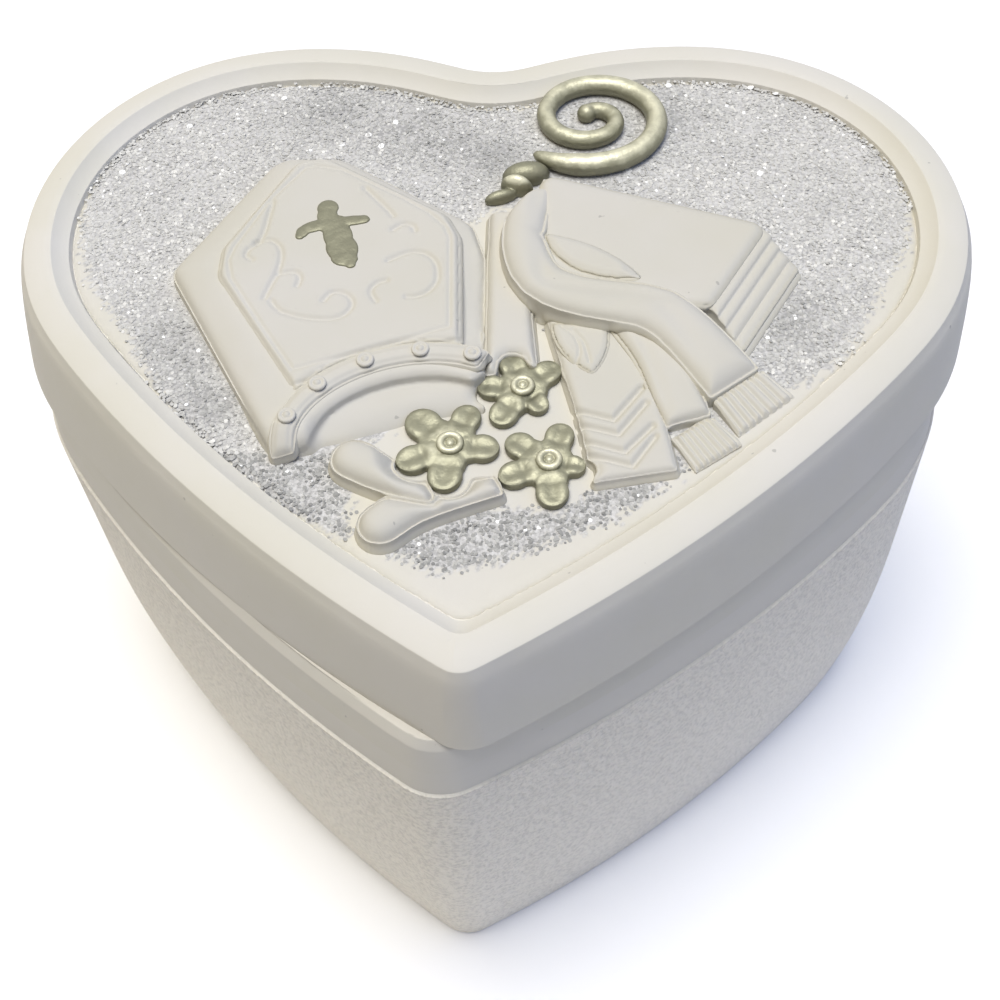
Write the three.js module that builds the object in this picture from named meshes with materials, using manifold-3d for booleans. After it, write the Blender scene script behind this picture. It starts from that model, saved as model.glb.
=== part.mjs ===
// A heart-shaped keepsake box in cast resin, with church emblems in relief on its lid.
// Millimetres, +Z up. The lid's tip points to -Y and its cleft to +Y.
// The origin lies on the underside of the base, straight below the middle of the lid's two lobes.

import * as THREE from "three";
import * as BufferGeometryUtils from "three/addons/utils/BufferGeometryUtils.js";
import Module from "manifold-3d";

// The heart, as seen on the lid's upper edge: half of it is five arcs, each tangent to the next.
// The left lobe of the lid's upper face was cast a little narrower than the right one
const LID_WIDTH = 90;
const LOBE_RADIUS = 38.5;
const LOBE_END = 83.5;
const SHOULDER_RADIUS = 24.8;
const SHOULDER_END = -39.5;
const SIDE_RADIUS = 139;
const CLEFT_RADIUS = 8.8;
const LEFT_SHARE = 0.98;
const LID_TIP_RADIUS = 3.5;
const BASE_TIP_RADIUS = 5.5;
const LEAST_TIP_RADIUS = 1.6;
const ARC_STEPS = { tip: 4, side: 8, shoulder: 14, lobe: 7, cleft: 4 };

// The base casting
const BASE_HEIGHT = 50.5;
const NECK_HEIGHT = 8;
const NECK_INSET = 0.8;
const BODY_SWELL = 0.3;
const FOOT_INSET = 1.7;
const FOOT_EDGE = 0.9;
const SHOULDER_EDGE = 0.7;
const RIM_EDGE = 0.7;
const WALL = 4.2;
const FLOOR = 6;
const WELL_DRAFT = 1.5;
const WELL_CORNER = 3;
const CORNER_CUT = 0.3;

// The loose lid lies a little askew, so the base stands turned and shifted under it
const BASE_TURN = -2.6;
const BASE_SHIFT_X = -1.3;
const BASE_SHIFT_Y = -1.5;

// The lid casting. A small step half way down the recess is given in shares of the ledge and the recess
const LID_HEIGHT = 11;
const LID_FLARE = 0.7;
const LID_EDGE = 1;
const FRAME_WIDTH = 3.9;
const LEDGE_WIDTH = 1.3;
const RECESS_DEPTH = 1.6;
const STEP_START = 0.25;
const STEP_END = 0.85;
const STEP_UPPER = 0.4;
const STEP_LOWER = 0.6;
const LIP_PLAY = 3.2;
const LIP_DEPTH = 2.5;
const LIP_WIDTH = 4;
const CEILING_DEPTH = 1.2;

// The glitter coat, and the seam that is left between pieces that lie side by side
const GLITTER_THICKNESS = 0.3;
const SEAM = 0.3;

// The emblems are drawn for a field of this width, from this tip to this top, and follow the real field
const DRAWN_FIELD_WIDTH = 79.6;
const DRAWN_FIELD_TIP = -28.8;
const DRAWN_FIELD_TOP = 33.3;

// Heights of the emblems above the glitter coat
const STAFF_HEIGHT = 1.5;
const KNOP_HEIGHT = 2.3;
const LOWER_KNOP_HEIGHT = 1.95;
const BACK_COVER_HEIGHT = 0.5;
const PAGES_HEIGHT = 1.9;
const BOOK_HEIGHT = 2.4;
const SASH_HEIGHT = 1.2;
const LEAF_HEIGHT = 1.6;
const LOWER_STOLE_HEIGHT = 2;
const FOLD_HEIGHT = 2.9;
const UPPER_STOLE_HEIGHT = 3.4;
const FRINGE_DROP = 0.4;
const MITRE_HEIGHT = 1.9;
const MITRE_MOUTH_HEIGHT = 0.7;
const MITRE_FRONT_HEIGHT = 2.7;
const BAND_HEIGHT = 3;
const STUD_HEIGHT = 0.35;
const CROSS_HEIGHT = 3.2;
const LAPPET_HEIGHT = 2.2;
const FLOWER_HEIGHT = 2.5;
const CENTRE_HEIGHT = 0.6;

// Plan sizes of the emblems
const MITRE_LEAN = 17;
const MITRE_X = -8.2;
const MITRE_Y = -7.7;
const BAND_LENGTH = 23;
const BAND_RISE = 8.5;
const BAND_WIDTH = 2.05;
const BAND_LIP = 1.1;
const BAND_START = 41;
const BAND_END = 180;
const STUD_COUNT = 5;
const STUD_RADIUS = 0.75;
const STUD_START = 47;
const STUD_END = 153;
const CROSS_LENGTH = 8.4;
const CROSS_SPAN = 6.8;
const CROSS_BAR = 1.7;
const CROSS_ARM_HEIGHT = 0.22;
const CROOK_RADIUS = 7;
const CROOK_EYE_RADIUS = 0.9;
const CROOK_OVAL = 1.12;
const CROOK_ROD = 1.05;
const CROOK_TAPER = 0.4;
const CROOK_START = -130;
const CROOK_SWEEP = 606;
const STAFF_WIDTH = 4.6;
const STAFF_NECK = 0.65;
const UPPER_STOLE_NECK = 3.5;
const UPPER_STOLE_WIDTH = 5.5;
const LOWER_STOLE_WIDTH = 4.1;
const FRINGE_SPREAD = 1.2;
const SASH_WIDTH = 7;
const LAPPET_WIDTH = 4;
const LOWER_LAPPET_END = 3.2;
const FLOWER_PETALS = 5;
const FLOWER_WAIST = 0.56;
const PETAL_BLUNTNESS = 0.6;
const FLOWER_CENTRE = 0.27;

const wasm = await Module();
wasm.setup();

const radians = THREE.MathUtils.degToRad;

function point(x, y) {
  return new THREE.Vector2(x, y);
}

// Points of an arc, without its last point
function arc(centre, radius, from, to, steps) {
  const points = [];
  for (let i = 0; i < steps; i++) {
    const angle = from + ((to - from) * i) / steps;
    points.push(point(centre.x + radius * Math.cos(angle), centre.y + radius * Math.sin(angle)));
  }
  return points;
}

// The heart's outline, anticlockwise from the tip, moved outwards by an offset.
// Its left half is narrowed by a share where one is given
function heart(offset, tipRadius, leftShare = 1) {
  const lobe = LOBE_RADIUS + offset;
  const shoulder = SHOULDER_RADIUS + offset;
  const side = SIDE_RADIUS + offset;
  const tip = Math.max(tipRadius + offset, LEAST_TIP_RADIUS);
  const cleft = CLEFT_RADIUS - offset;
  const lobeEnd = radians(LOBE_END);
  const shoulderEnd = radians(SHOULDER_END);
  const reach = (LOBE_RADIUS - SHOULDER_RADIUS) * Math.cos(lobeEnd);
  const lobeCentre = point(LID_WIDTH / 2 - SHOULDER_RADIUS - reach, 0);
  const shoulderCentre = arc(lobeCentre, lobe - shoulder, lobeEnd, lobeEnd, 1)[0];
  const sideCentre = arc(shoulderCentre, shoulder - side, shoulderEnd, shoulderEnd, 1)[0];
  const tipCentre = point(0, sideCentre.y - Math.sqrt((side - tip) ** 2 - sideCentre.x ** 2));
  const cleftCentre = point(0, Math.sqrt((lobe + cleft) ** 2 - lobeCentre.x ** 2));
  const tipEnd = Math.atan2(tipCentre.y - sideCentre.y, tipCentre.x - sideCentre.x);
  const lobeStart = Math.atan2(cleftCentre.y, -lobeCentre.x);
  const right = [
    ...arc(tipCentre, tip, -Math.PI / 2, tipEnd, ARC_STEPS.tip),
    ...arc(sideCentre, side, tipEnd, shoulderEnd, ARC_STEPS.side),
    ...arc(shoulderCentre, shoulder, shoulderEnd, lobeEnd, ARC_STEPS.shoulder),
    ...arc(lobeCentre, lobe, lobeEnd, lobeStart, ARC_STEPS.lobe),
    ...arc(cleftCentre, cleft, lobeStart - Math.PI, -Math.PI / 2, ARC_STEPS.cleft),
    point(0, cleftCentre.y - cleft),
  ];
  const left = right.slice(1, -1).reverse();
  return [...right, ...left.map((p) => point(-p.x * leftShare, p.y))];
}

// A closed solid through a stack of outlines that have the same number of points
function loft(rings) {
  const count = rings[0].outline.length;
  const positions = rings.flatMap(({ outline, z }) => outline.flatMap((p) => [p.x, p.y, z]));
  const index = [];
  for (let ring = 0; ring + 1 < rings.length; ring++) {
    for (let i = 0; i < count; i++) {
      const a = ring * count + i;
      const b = ring * count + ((i + 1) % count);
      index.push(a, b, b + count, a, b + count, a + count);
    }
  }
  const last = (rings.length - 1) * count;
  for (const [a, b, c] of THREE.ShapeUtils.triangulateShape(rings[0].outline, [])) {
    index.push(c, b, a);
  }
  for (const [a, b, c] of THREE.ShapeUtils.triangulateShape(rings.at(-1).outline, [])) {
    index.push(last + a, last + b, last + c);
  }
  const geometry = new THREE.BufferGeometry();
  geometry.setAttribute("position", new THREE.Float32BufferAttribute(positions, 3));
  geometry.setIndex(index);
  return geometry;
}

// An outline moved outwards by a distance. A sharp corner moves further, up to the corner stretch
const CORNER_STRETCH = 1.6;
function grow(outline, distance) {
  return outline.map((p, i) => {
    const before = p.clone().sub(outline.at(i - 1)).normalize();
    const after = outline[(i + 1) % outline.length].clone().sub(p).normalize();
    const first = point(before.y, -before.x);
    const outwards = first.clone().add(point(after.y, -after.x)).normalize();
    const stretch = Math.min(1 / Math.max(outwards.dot(first), 1 / CORNER_STRETCH), CORNER_STRETCH);
    return p.clone().addScaledVector(outwards, distance * stretch);
  });
}

// A plate with an upright wall, and its upper edge cut back where an edge size is given
function slab(outline, from, to, edge = 0) {
  const rings = [{ outline, z: from }, { outline, z: to - edge }];
  if (edge > 0) {
    rings.push({ outline: grow(outline, -edge), z: to });
  }
  return loft(rings);
}

// A low round-topped mound on an outline: each level is a share of the outline and of the height
function mound(outline, from, to) {
  const middle = outline.reduce((sum, p) => sum.add(p), point(0, 0)).divideScalar(outline.length);
  const shrink = (share) => outline.map((p) => p.clone().lerp(middle, 1 - share));
  const levels = [[1, 0], [1, 0.5], [0.93, 0.74], [0.76, 0.91], [0.45, 1]];
  const rise = to - from;
  return loft(levels.map(([share, height]) => ({ outline: shrink(share), z: from + rise * height })));
}

function toManifold(geometry) {
  const bare = geometry.clone();
  bare.deleteAttribute("normal");
  bare.deleteAttribute("uv");
  const merged = BufferGeometryUtils.mergeVertices(bare, 1e-5);
  const mesh = new wasm.Mesh({
    numProp: 3,
    vertProperties: new Float32Array(merged.attributes.position.array),
    triVerts: new Uint32Array(merged.index.array),
  });
  return new wasm.Manifold(mesh);
}

function toGeometry(manifold) {
  const mesh = manifold.getMesh();
  const geometry = new THREE.BufferGeometry();
  geometry.setAttribute("position", new THREE.Float32BufferAttribute(mesh.vertProperties, 3));
  geometry.setIndex([...mesh.triVerts]);
  return geometry;
}

// Outlines drawn on the field

// A polygon with rounded corners: each corner is x, y and its radius
const ROUNDED_STEPS = 4;
function rounded(corners) {
  return corners.flatMap(([x, y, radius], i) => {
    const corner = point(x, y);
    const before = corners.at(i - 1);
    const after = corners[(i + 1) % corners.length];
    const back = point(before[0], before[1]).sub(corner).normalize();
    const on = point(after[0], after[1]).sub(corner).normalize();
    const half = Math.acos(back.dot(on)) / 2;
    const inwards = back.clone().add(on).normalize();
    const centre = corner.clone().addScaledVector(inwards, radius / Math.sin(half));
    const start = corner.clone().addScaledVector(back, radius / Math.tan(half)).sub(centre).angle();
    const end = corner.clone().addScaledVector(on, radius / Math.tan(half)).sub(centre).angle();
    const sweep = Math.atan2(Math.sin(end - start), Math.cos(end - start));
    const last = arc(centre, radius, start + sweep, 0, 1);
    return [...arc(centre, radius, start, start + sweep, ROUNDED_STEPS), ...last];
  });
}

// A band of cloth or rod along a smooth line, with a square or a round end at its start
const RIBBON_STEP = 1.6;
const CAP_STEPS = 6;
function ribbon(line, widthAtStart, widthAtEnd, roundStart = false) {
  const curve = new THREE.SplineCurve(line.map(([x, y]) => point(x, y)));
  const steps = Math.ceil(curve.getLength() / RIBBON_STEP);
  const right = [];
  const left = [];
  for (let i = 0; i <= steps; i++) {
    const along = i / steps;
    const centre = curve.getPointAt(along);
    const tangent = curve.getTangentAt(along);
    const half = (widthAtStart + (widthAtEnd - widthAtStart) * along) / 2;
    right.push(point(centre.x + tangent.y * half, centre.y - tangent.x * half));
    left.push(point(centre.x - tangent.y * half, centre.y + tangent.x * half));
  }
  const startAngle = curve.getTangent(0).angle();
  const capStart = startAngle + Math.PI / 2;
  const cap = arc(curve.getPoint(0), widthAtStart / 2, capStart, capStart + Math.PI, CAP_STEPS);
  return [...right, ...left.reverse(), ...(roundStart ? cap.slice(1) : [])];
}

function ellipse(x, y, halfLength, halfWidth, turn = 0, steps = 20) {
  const circle = arc(point(0, 0), 1, 0, 2 * Math.PI, steps);
  return circle.map((p) => {
    const oval = point(p.x * halfLength, p.y * halfWidth);
    return oval.rotateAround(point(0, 0), radians(turn)).add(point(x, y));
  });
}

// The mitre is drawn upright and then leaned over to its place
function onMitre(outline) {
  const place = point(MITRE_X, MITRE_Y);
  return outline.map((p) => p.clone().rotateAround(point(0, 0), radians(MITRE_LEAN)).add(place));
}

// Fits and levels that follow from the sizes above
const lidTop = BASE_HEIGHT + LID_HEIGHT;
const fieldInset = FRAME_WIDTH + LEDGE_WIDTH;
const fieldLevel = lidTop - RECESS_DEPTH;
const bedTop = fieldLevel + GLITTER_THICKNESS;
const fieldBox = new THREE.Box2().setFromPoints(heart(-fieldInset, LID_TIP_RADIUS));
const fieldSize = fieldBox.getSize(point(0, 0));
const widthShare = fieldSize.x / DRAWN_FIELD_WIDTH;
const depthShare = fieldSize.y / (DRAWN_FIELD_TOP - DRAWN_FIELD_TIP);
const mouthInset = NECK_INSET + WALL;
const lipInset = mouthInset + LIP_PLAY;

function fitToField(outline) {
  return outline.map((p) => point(p.x * widthShare, fieldBox.min.y + (p.y - DRAWN_FIELD_TIP) * depthShare));
}

const RESIN = new THREE.MeshStandardMaterial({ color: 0xe8e4da, roughness: 0.72, metalness: 0 });
const SANDY_RESIN = new THREE.MeshStandardMaterial({ color: 0xe2ded2, roughness: 0.9, metalness: 0 });
const GLITTER = new THREE.MeshStandardMaterial({ color: 0xcfd0cd, roughness: 0.35, metalness: 0.6 });
const GILT = new THREE.MeshStandardMaterial({ color: 0xa39f7e, roughness: 0.38, metalness: 0.85 });

const part = new THREE.Group();
const lid = new THREE.Group();
const base = new THREE.Group();
base.position.set(BASE_SHIFT_X, BASE_SHIFT_Y, 0);
base.rotation.z = radians(BASE_TURN);
part.add(base, lid);

function add(group, name, geometry, material) {
  const mesh = new THREE.Mesh(geometry, material);
  mesh.name = name;
  group.add(mesh);
  return mesh;
}

// Base: a round-edged foot, a slightly swelling body, a step in to the neck band, and the well
function baseBox() {
  const neckFoot = BASE_HEIGHT - NECK_HEIGHT;
  const outside = (offset, z) => ({ outline: heart(offset, BASE_TIP_RADIUS), z });
  const bodySteps = 7;
  const body = [];
  for (let i = 0; i <= bodySteps; i++) {
    const z = FOOT_EDGE + ((neckFoot - SHOULDER_EDGE - FOOT_EDGE) * i) / bodySteps;
    const below = Math.max(0, 1 - (2 * z) / neckFoot);
    body.push(outside(BODY_SWELL - (BODY_SWELL + FOOT_INSET) * below ** 2, z));
  }
  return loft([
    outside(-FOOT_INSET - FOOT_EDGE, 0),
    ...body,
    outside(-NECK_INSET, neckFoot),
    outside(-NECK_INSET, BASE_HEIGHT - RIM_EDGE),
    outside(-NECK_INSET - RIM_EDGE, BASE_HEIGHT),
    outside(-mouthInset + RIM_EDGE / 2, BASE_HEIGHT),
    outside(-mouthInset, BASE_HEIGHT - RIM_EDGE / 2),
    outside(-mouthInset - WELL_DRAFT, FLOOR + WELL_CORNER),
    outside(-mouthInset - WELL_DRAFT - WELL_CORNER * CORNER_CUT, FLOOR + WELL_CORNER * CORNER_CUT),
    outside(-mouthInset - WELL_DRAFT - WELL_CORNER, FLOOR),
  ]);
}
add(base, "base_box", baseBox(), SANDY_RESIN);

// Lid: a lip that drops into the base, a flared wall, the raised frame, and a ledge down to the field
function lidShell() {
  const below = (offset, z) => ({ outline: heart(offset, LID_TIP_RADIUS), z });
  const above = (offset, z) => ({ outline: heart(offset, LID_TIP_RADIUS, LEFT_SHARE), z });
  return loft([
    below(-lipInset - LIP_WIDTH, BASE_HEIGHT + CEILING_DEPTH),
    below(-lipInset - LIP_WIDTH, BASE_HEIGHT - LIP_DEPTH),
    below(-lipInset, BASE_HEIGHT - LIP_DEPTH),
    below(-lipInset, BASE_HEIGHT),
    below(LID_FLARE, BASE_HEIGHT),
    above(0, lidTop - LID_EDGE),
    above(-LID_EDGE * CORNER_CUT, lidTop - LID_EDGE * CORNER_CUT),
    above(-LID_EDGE, lidTop),
    above(-FRAME_WIDTH, lidTop),
    above(-FRAME_WIDTH - LEDGE_WIDTH * STEP_START, lidTop - RECESS_DEPTH * STEP_UPPER),
    above(-FRAME_WIDTH - LEDGE_WIDTH * STEP_END, lidTop - RECESS_DEPTH * STEP_LOWER),
    above(-fieldInset, fieldLevel),
  ]);
}
add(lid, "lid_shell", lidShell(), RESIN);
const bedOutline = heart(-fieldInset - SEAM, LID_TIP_RADIUS, LEFT_SHARE);
add(lid, "glitter_bed", slab(bedOutline, fieldLevel, bedTop), GLITTER);

// Emblems are laid one after another: each is trimmed to the field and by what lies there already,
// except by the piece that it sits on
const laid = [];
const reliefTop = bedTop + 10 * FLOWER_HEIGHT;
const field = toManifold(slab(bedOutline, bedTop, reliefTop));

function largest(manifold) {
  const pieces = manifold.decompose();
  return pieces.reduce((best, piece) => (piece.volume() > best.volume() ? piece : best));
}

// The room that a piece with this outline and height takes, with a seam all round it
function room(outline, height) {
  return toManifold(slab(grow(outline, SEAM), bedTop - 1, bedTop + height + SEAM));
}

function lay(name, material, solid, rooms, seats = []) {
  let shape = toManifold(solid).intersect(field);
  for (const other of laid) {
    if (!seats.includes(other.name)) {
      shape = shape.subtract(other.taken);
    }
  }
  add(lid, name, toGeometry(largest(shape)), material);
  for (const taken of rooms) {
    laid.push({ name, taken });
  }
}

function layPlate(name, material, drawn, height, edge = 0.3, from = 0, seats = []) {
  const outline = fitToField(drawn);
  const plate = slab(outline, bedTop + from, bedTop + height, edge);
  lay(name, material, plate, [room(outline, height)], seats);
}

function layMound(name, material, drawn, height, from = 0, seats = []) {
  const outline = fitToField(drawn);
  lay(name, material, mound(outline, bedTop + from, bedTop + height), [room(outline, height)], seats);
}

// A small lathe-turned button: a rim, a groove inside it and a raised middle
function button(radius, height) {
  const profile = [
    [0, 0], [radius, 0], [radius, height * 0.6], [radius * 0.8, height], [radius * 0.55, height * 0.55],
    [radius * 0.3, height * 0.9], [0, height],
  ].map(([x, y]) => point(x, y));
  const turned = new THREE.LatheGeometry(profile, 12);
  turned.rotateX(Math.PI / 2);
  return toGeometry(toManifold(turned));
}

// Flowers: five round petals round a ringed centre. They lie over all the other emblems
const PETAL_STEPS = 8;
function flowerOutline(x, y, radius, turn) {
  const steps = PETAL_STEPS * FLOWER_PETALS;
  const rim = arc(point(0, 0), 1, radians(turn), radians(turn) + 2 * Math.PI, steps);
  return rim.map((p, i) => {
    const petal = 0.5 + 0.5 * Math.cos((2 * Math.PI * FLOWER_PETALS * i) / steps);
    const reach = FLOWER_WAIST + (1 - FLOWER_WAIST) * petal ** PETAL_BLUNTNESS;
    return p.clone().multiplyScalar(radius * reach).add(point(x, y));
  });
}

const flowers = [
  { name: "left", x: -1.9, y: -13.2, radius: 4.5, turn: -13 },
  { name: "top", x: 4, y: -6.9, radius: 3.9, turn: 36 },
  { name: "right", x: 6.3, y: -14.6, radius: 4, turn: -9 },
];
for (const { name, x, y, radius, turn } of flowers) {
  layMound(`flower_${name}`, GILT, flowerOutline(x, y, radius, turn), FLOWER_HEIGHT);
  const [place] = fitToField([point(x, y)]);
  const centre = add(lid, `flower_centre_${name}`, button(radius * FLOWER_CENTRE, CENTRE_HEIGHT), GILT);
  centre.position.set(place.x, place.y, bedTop + FLOWER_HEIGHT);
}

// Crosier: the crook is an oval spiral rod that ends in an eye
const crookCentre = point(9.8, 27);
function crookPoint(along) {
  const radius = CROOK_RADIUS + (CROOK_EYE_RADIUS - CROOK_RADIUS) * along;
  const angle = radians(CROOK_START + CROOK_SWEEP * along);
  const x = crookCentre.x + CROOK_OVAL * radius * Math.cos(angle);
  return fitToField([point(x, crookCentre.y + radius * Math.sin(angle))])[0];
}

function crookSection(along) {
  const centre = crookPoint(along);
  const ahead = crookPoint(along + 0.002).sub(crookPoint(along - 0.002)).normalize();
  const rod = CROOK_ROD * (1 - CROOK_TAPER * along);
  const profile = [[-0.85, 0], [-1, 0.8], [-0.62, 1.5], [0, 1.8], [0.62, 1.5], [1, 0.8], [0.85, 0]];
  return profile.map(([across, up]) => [
    centre.x + ahead.y * across * rod,
    centre.y - ahead.x * across * rod,
    bedTop + up * rod,
  ]);
}

const CROOK_STEPS = 64;
function crookSolid() {
  const sections = [];
  for (let i = 0; i <= CROOK_STEPS; i++) {
    sections.push(crookSection(i / CROOK_STEPS));
  }
  const size = sections[0].length;
  const index = [];
  for (let i = 0; i < CROOK_STEPS; i++) {
    for (let k = 0; k < size; k++) {
      const a = i * size + k;
      const b = i * size + ((k + 1) % size);
      index.push(a, b, a + size, b, b + size, a + size);
    }
  }
  const last = CROOK_STEPS * size;
  for (let k = 1; k + 1 < size; k++) {
    index.push(0, k + 1, k, last, last + k, last + k + 1);
  }
  const geometry = new THREE.BufferGeometry();
  geometry.setAttribute("position", new THREE.Float32BufferAttribute(sections.flat(2), 3));
  geometry.setIndex(index);
  const eye = crookPoint(1);
  const eyeOutline = ellipse(eye.x, eye.y, CROOK_ROD * 0.95, CROOK_ROD * 0.85);
  const bead = mound(eyeOutline, bedTop, bedTop + 2 * CROOK_ROD);
  return toGeometry(toManifold(geometry).add(toManifold(bead)));
}

const crookReach = CROOK_RADIUS + CROOK_ROD;
const crookOutline = ellipse(crookCentre.x, crookCentre.y, CROOK_OVAL * crookReach, crookReach, 0, 32);
lay("crosier_head", GILT, crookSolid(), [room(fitToField(crookOutline), 2 * CROOK_ROD)]);
layMound("crosier_collar_upper", GILT, ellipse(3.5, 19, 1.9, 1.3, 25), KNOP_HEIGHT);
layMound("crosier_collar_lower", GILT, ellipse(1.8, 16.5, 1.6, 1, 15), LOWER_KNOP_HEIGHT);
const staffLine = [[1.9, 14.2], [2.1, 10], [2.6, 3], [3.1, -5]];
const staff = ribbon(staffLine, STAFF_WIDTH * STAFF_NECK, STAFF_WIDTH);
layPlate("crosier_staff", RESIN, staff, STAFF_HEIGHT, 0.5);

// Book: the cover's near edge is hidden by the stole, and its pages step down towards the right
const cover = [[5.3, 17.7], [6, 3.9], [20.2, 1.8], [25.5, 11.2]];
const pageSlant = point(3, -4.2);
function bookPlan(share) {
  const slid = (corner) => [corner[0] + pageSlant.x * share, corner[1] + pageSlant.y * share];
  const [farLeft, nearLeft, nearRight, farRight] = cover;
  const corners = [farLeft, nearLeft, nearRight, slid(nearRight), slid(farRight), farRight];
  return corners.map(([x, y]) => point(x, y));
}

// The pages are terraces that get shorter as they get higher. The lowest one stops short of the back cover
const PAGE_TERRACES = 4;
const PAGE_REACH = 0.9;
function layPages() {
  let pages = null;
  const rooms = [];
  for (let i = 0; i < PAGE_TERRACES; i++) {
    const outline = fitToField(bookPlan(PAGE_REACH * (1 - i / PAGE_TERRACES)));
    const height = BACK_COVER_HEIGHT + ((PAGES_HEIGHT - BACK_COVER_HEIGHT) * (i + 1)) / PAGE_TERRACES;
    const ledge = toManifold(slab(outline, bedTop + BACK_COVER_HEIGHT, bedTop + height));
    pages = pages === null ? ledge : pages.add(ledge);
    rooms.push(room(outline, height));
  }
  lay("book_pages", RESIN, toGeometry(pages), rooms, ["book_back_cover"]);
}
layPlate("book_back_cover", RESIN, bookPlan(1), BACK_COVER_HEIGHT, 0.2);
layPages();
const coverOutline = rounded(cover.map(([x, y]) => [x, y, 0.9]));
const coverSeats = ["book_back_cover", "book_pages"];
layPlate("book_cover", RESIN, coverOutline, BOOK_HEIGHT, 0.25, PAGES_HEIGHT, coverSeats);

// Sash: the cloth end with a pointed leaf on it
const sashLine = [[9.4, 2], [10.8, -3.5], [12.1, -8.4], [12.9, -12], [13.6, -15.6]];
layPlate("sash", RESIN, ribbon(sashLine, SASH_WIDTH, SASH_WIDTH), SASH_HEIGHT, 0.25);
const leafRight = new THREE.QuadraticBezierCurve(point(10, -5), point(11.7, -2.6), point(11.1, 0));
const leafLeft = new THREE.QuadraticBezierCurve(point(6.6, 0.1), point(7, -3.3), point(10, -5));
const leaf = [...leafRight.getPoints(6), ...leafLeft.getPoints(6).slice(0, -1)];
layPlate("sash_leaf", RESIN, leaf, LEAF_HEIGHT, 0.2, SASH_HEIGHT, ["sash"]);

// Stole, lower end: it comes out from under the upper end and ends in a fringe
const lowerLine = [[13.2, 1.2], [15.6, -3], [17, -7], [18.1, -9.9]];
const lowerStole = ribbon(lowerLine, LOWER_STOLE_WIDTH, LOWER_STOLE_WIDTH);
layPlate("stole_lower", RESIN, lowerStole, LOWER_STOLE_HEIGHT, 0.4);
const lowerFringeLine = [[18.3, -10.3], [20.5, -13.3]];
const lowerFringe = ribbon(lowerFringeLine, LOWER_STOLE_WIDTH, LOWER_STOLE_WIDTH * FRINGE_SPREAD);
layPlate("stole_fringe_lower", RESIN, lowerFringe, LOWER_STOLE_HEIGHT - FRINGE_DROP, 0.3);

// Mitre: body with its mouth, front panel, headband with studs, cross
const bandMiddle = point(1.5, -4.6);
const bandHalf = BAND_LENGTH / 2;
function bandEllipse(inset, from = 0, to = 360, steps = 24) {
  const curve = arc(point(0, 0), 1, radians(from), radians(to), steps);
  return curve.map((p) => point(
    bandMiddle.x + p.x * (bandHalf - inset),
    bandMiddle.y + p.y * (BAND_RISE - inset),
  ));
}

const mitreOutline = onMitre(rounded([
  [-9.8, -3.5, 0.5], [8.6, -3.5, 1], [10.4, 3, 4], [12.8, 12, 6], [12.8, 17.2, 1.8], [3, 29.2, 3],
  [-3, 31.2, 3], [-15.2, 19.4, 1.4],
]));
function layMitreBody() {
  const outline = fitToField(mitreOutline);
  const mouth = fitToField(onMitre(bandEllipse(BAND_WIDTH + BAND_LIP)));
  const body = toManifold(slab(outline, bedTop, bedTop + MITRE_HEIGHT, 0.4));
  const overBody = bedTop + 2 * MITRE_HEIGHT;
  const hollow = toManifold(slab(mouth, bedTop + MITRE_MOUTH_HEIGHT, overBody));
  const clearMouth = slab(grow(mouth, -SEAM), bedTop + MITRE_MOUTH_HEIGHT + SEAM, overBody);
  const taken = room(outline, MITRE_HEIGHT).subtract(toManifold(clearMouth));
  lay("mitre_body", RESIN, toGeometry(body.subtract(hollow)), [taken]);
}
layMitreBody();

const bandOutline = onMitre([
  ...bandEllipse(0, BAND_START, BAND_END),
  ...bandEllipse(BAND_WIDTH, BAND_START, BAND_END).reverse(),
]);
const frontOutline = onMitre(rounded([
  [-5.9, -1, 1], [7, -1, 1], [10.9, 14.8, 2.5], [10.4, 17.8, 1.5], [1.3, 28.4, 2.2], [-1.4, 28.7, 1.5],
  [-10, 19.6, 1.5], [-10.9, 16.4, 2],
]));
layPlate("mitre_band", RESIN, bandOutline, BAND_HEIGHT, 0.3, MITRE_HEIGHT, ["mitre_body"]);
layPlate("mitre_front", RESIN, frontOutline, MITRE_FRONT_HEIGHT, 0.3, MITRE_HEIGHT, ["mitre_body"]);

// A stubby cross whose leg widens to its foot
const crossCentre = point(0.2, 18.4);
function crossOutline() {
  const half = CROSS_LENGTH / 2;
  const arm = CROSS_SPAN / 2;
  const bar = CROSS_BAR / 2;
  const height = half * CROSS_ARM_HEIGHT;
  return [
    [-bar * 1.5, -half], [bar * 1.5, -half],
    [bar * 1.1, height - bar], [arm, height - bar * 0.8], [arm, height + bar * 0.8], [bar, height + bar],
    [bar * 1.1, half], [-bar * 1.1, half],
    [-bar, height + bar], [-arm, height + bar * 0.8], [-arm, height - bar * 0.8], [-bar * 1.1, height - bar],
  ].map(([x, y]) => point(x + crossCentre.x, y + crossCentre.y));
}
const crossSeats = ["mitre_body", "mitre_front"];
layPlate("mitre_cross", GILT, onMitre(crossOutline()), CROSS_HEIGHT, 0.2, MITRE_FRONT_HEIGHT, crossSeats);

for (let i = 0; i < STUD_COUNT; i++) {
  const angle = STUD_END - (i * (STUD_END - STUD_START)) / (STUD_COUNT - 1);
  const [place] = fitToField(onMitre(bandEllipse(BAND_WIDTH / 2, angle, angle, 1)));
  const stud = add(lid, `mitre_stud_${i + 1}`, button(STUD_RADIUS, STUD_HEIGHT), RESIN);
  stud.position.set(place.x, place.y, bedTop + BAND_HEIGHT);
}

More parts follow.
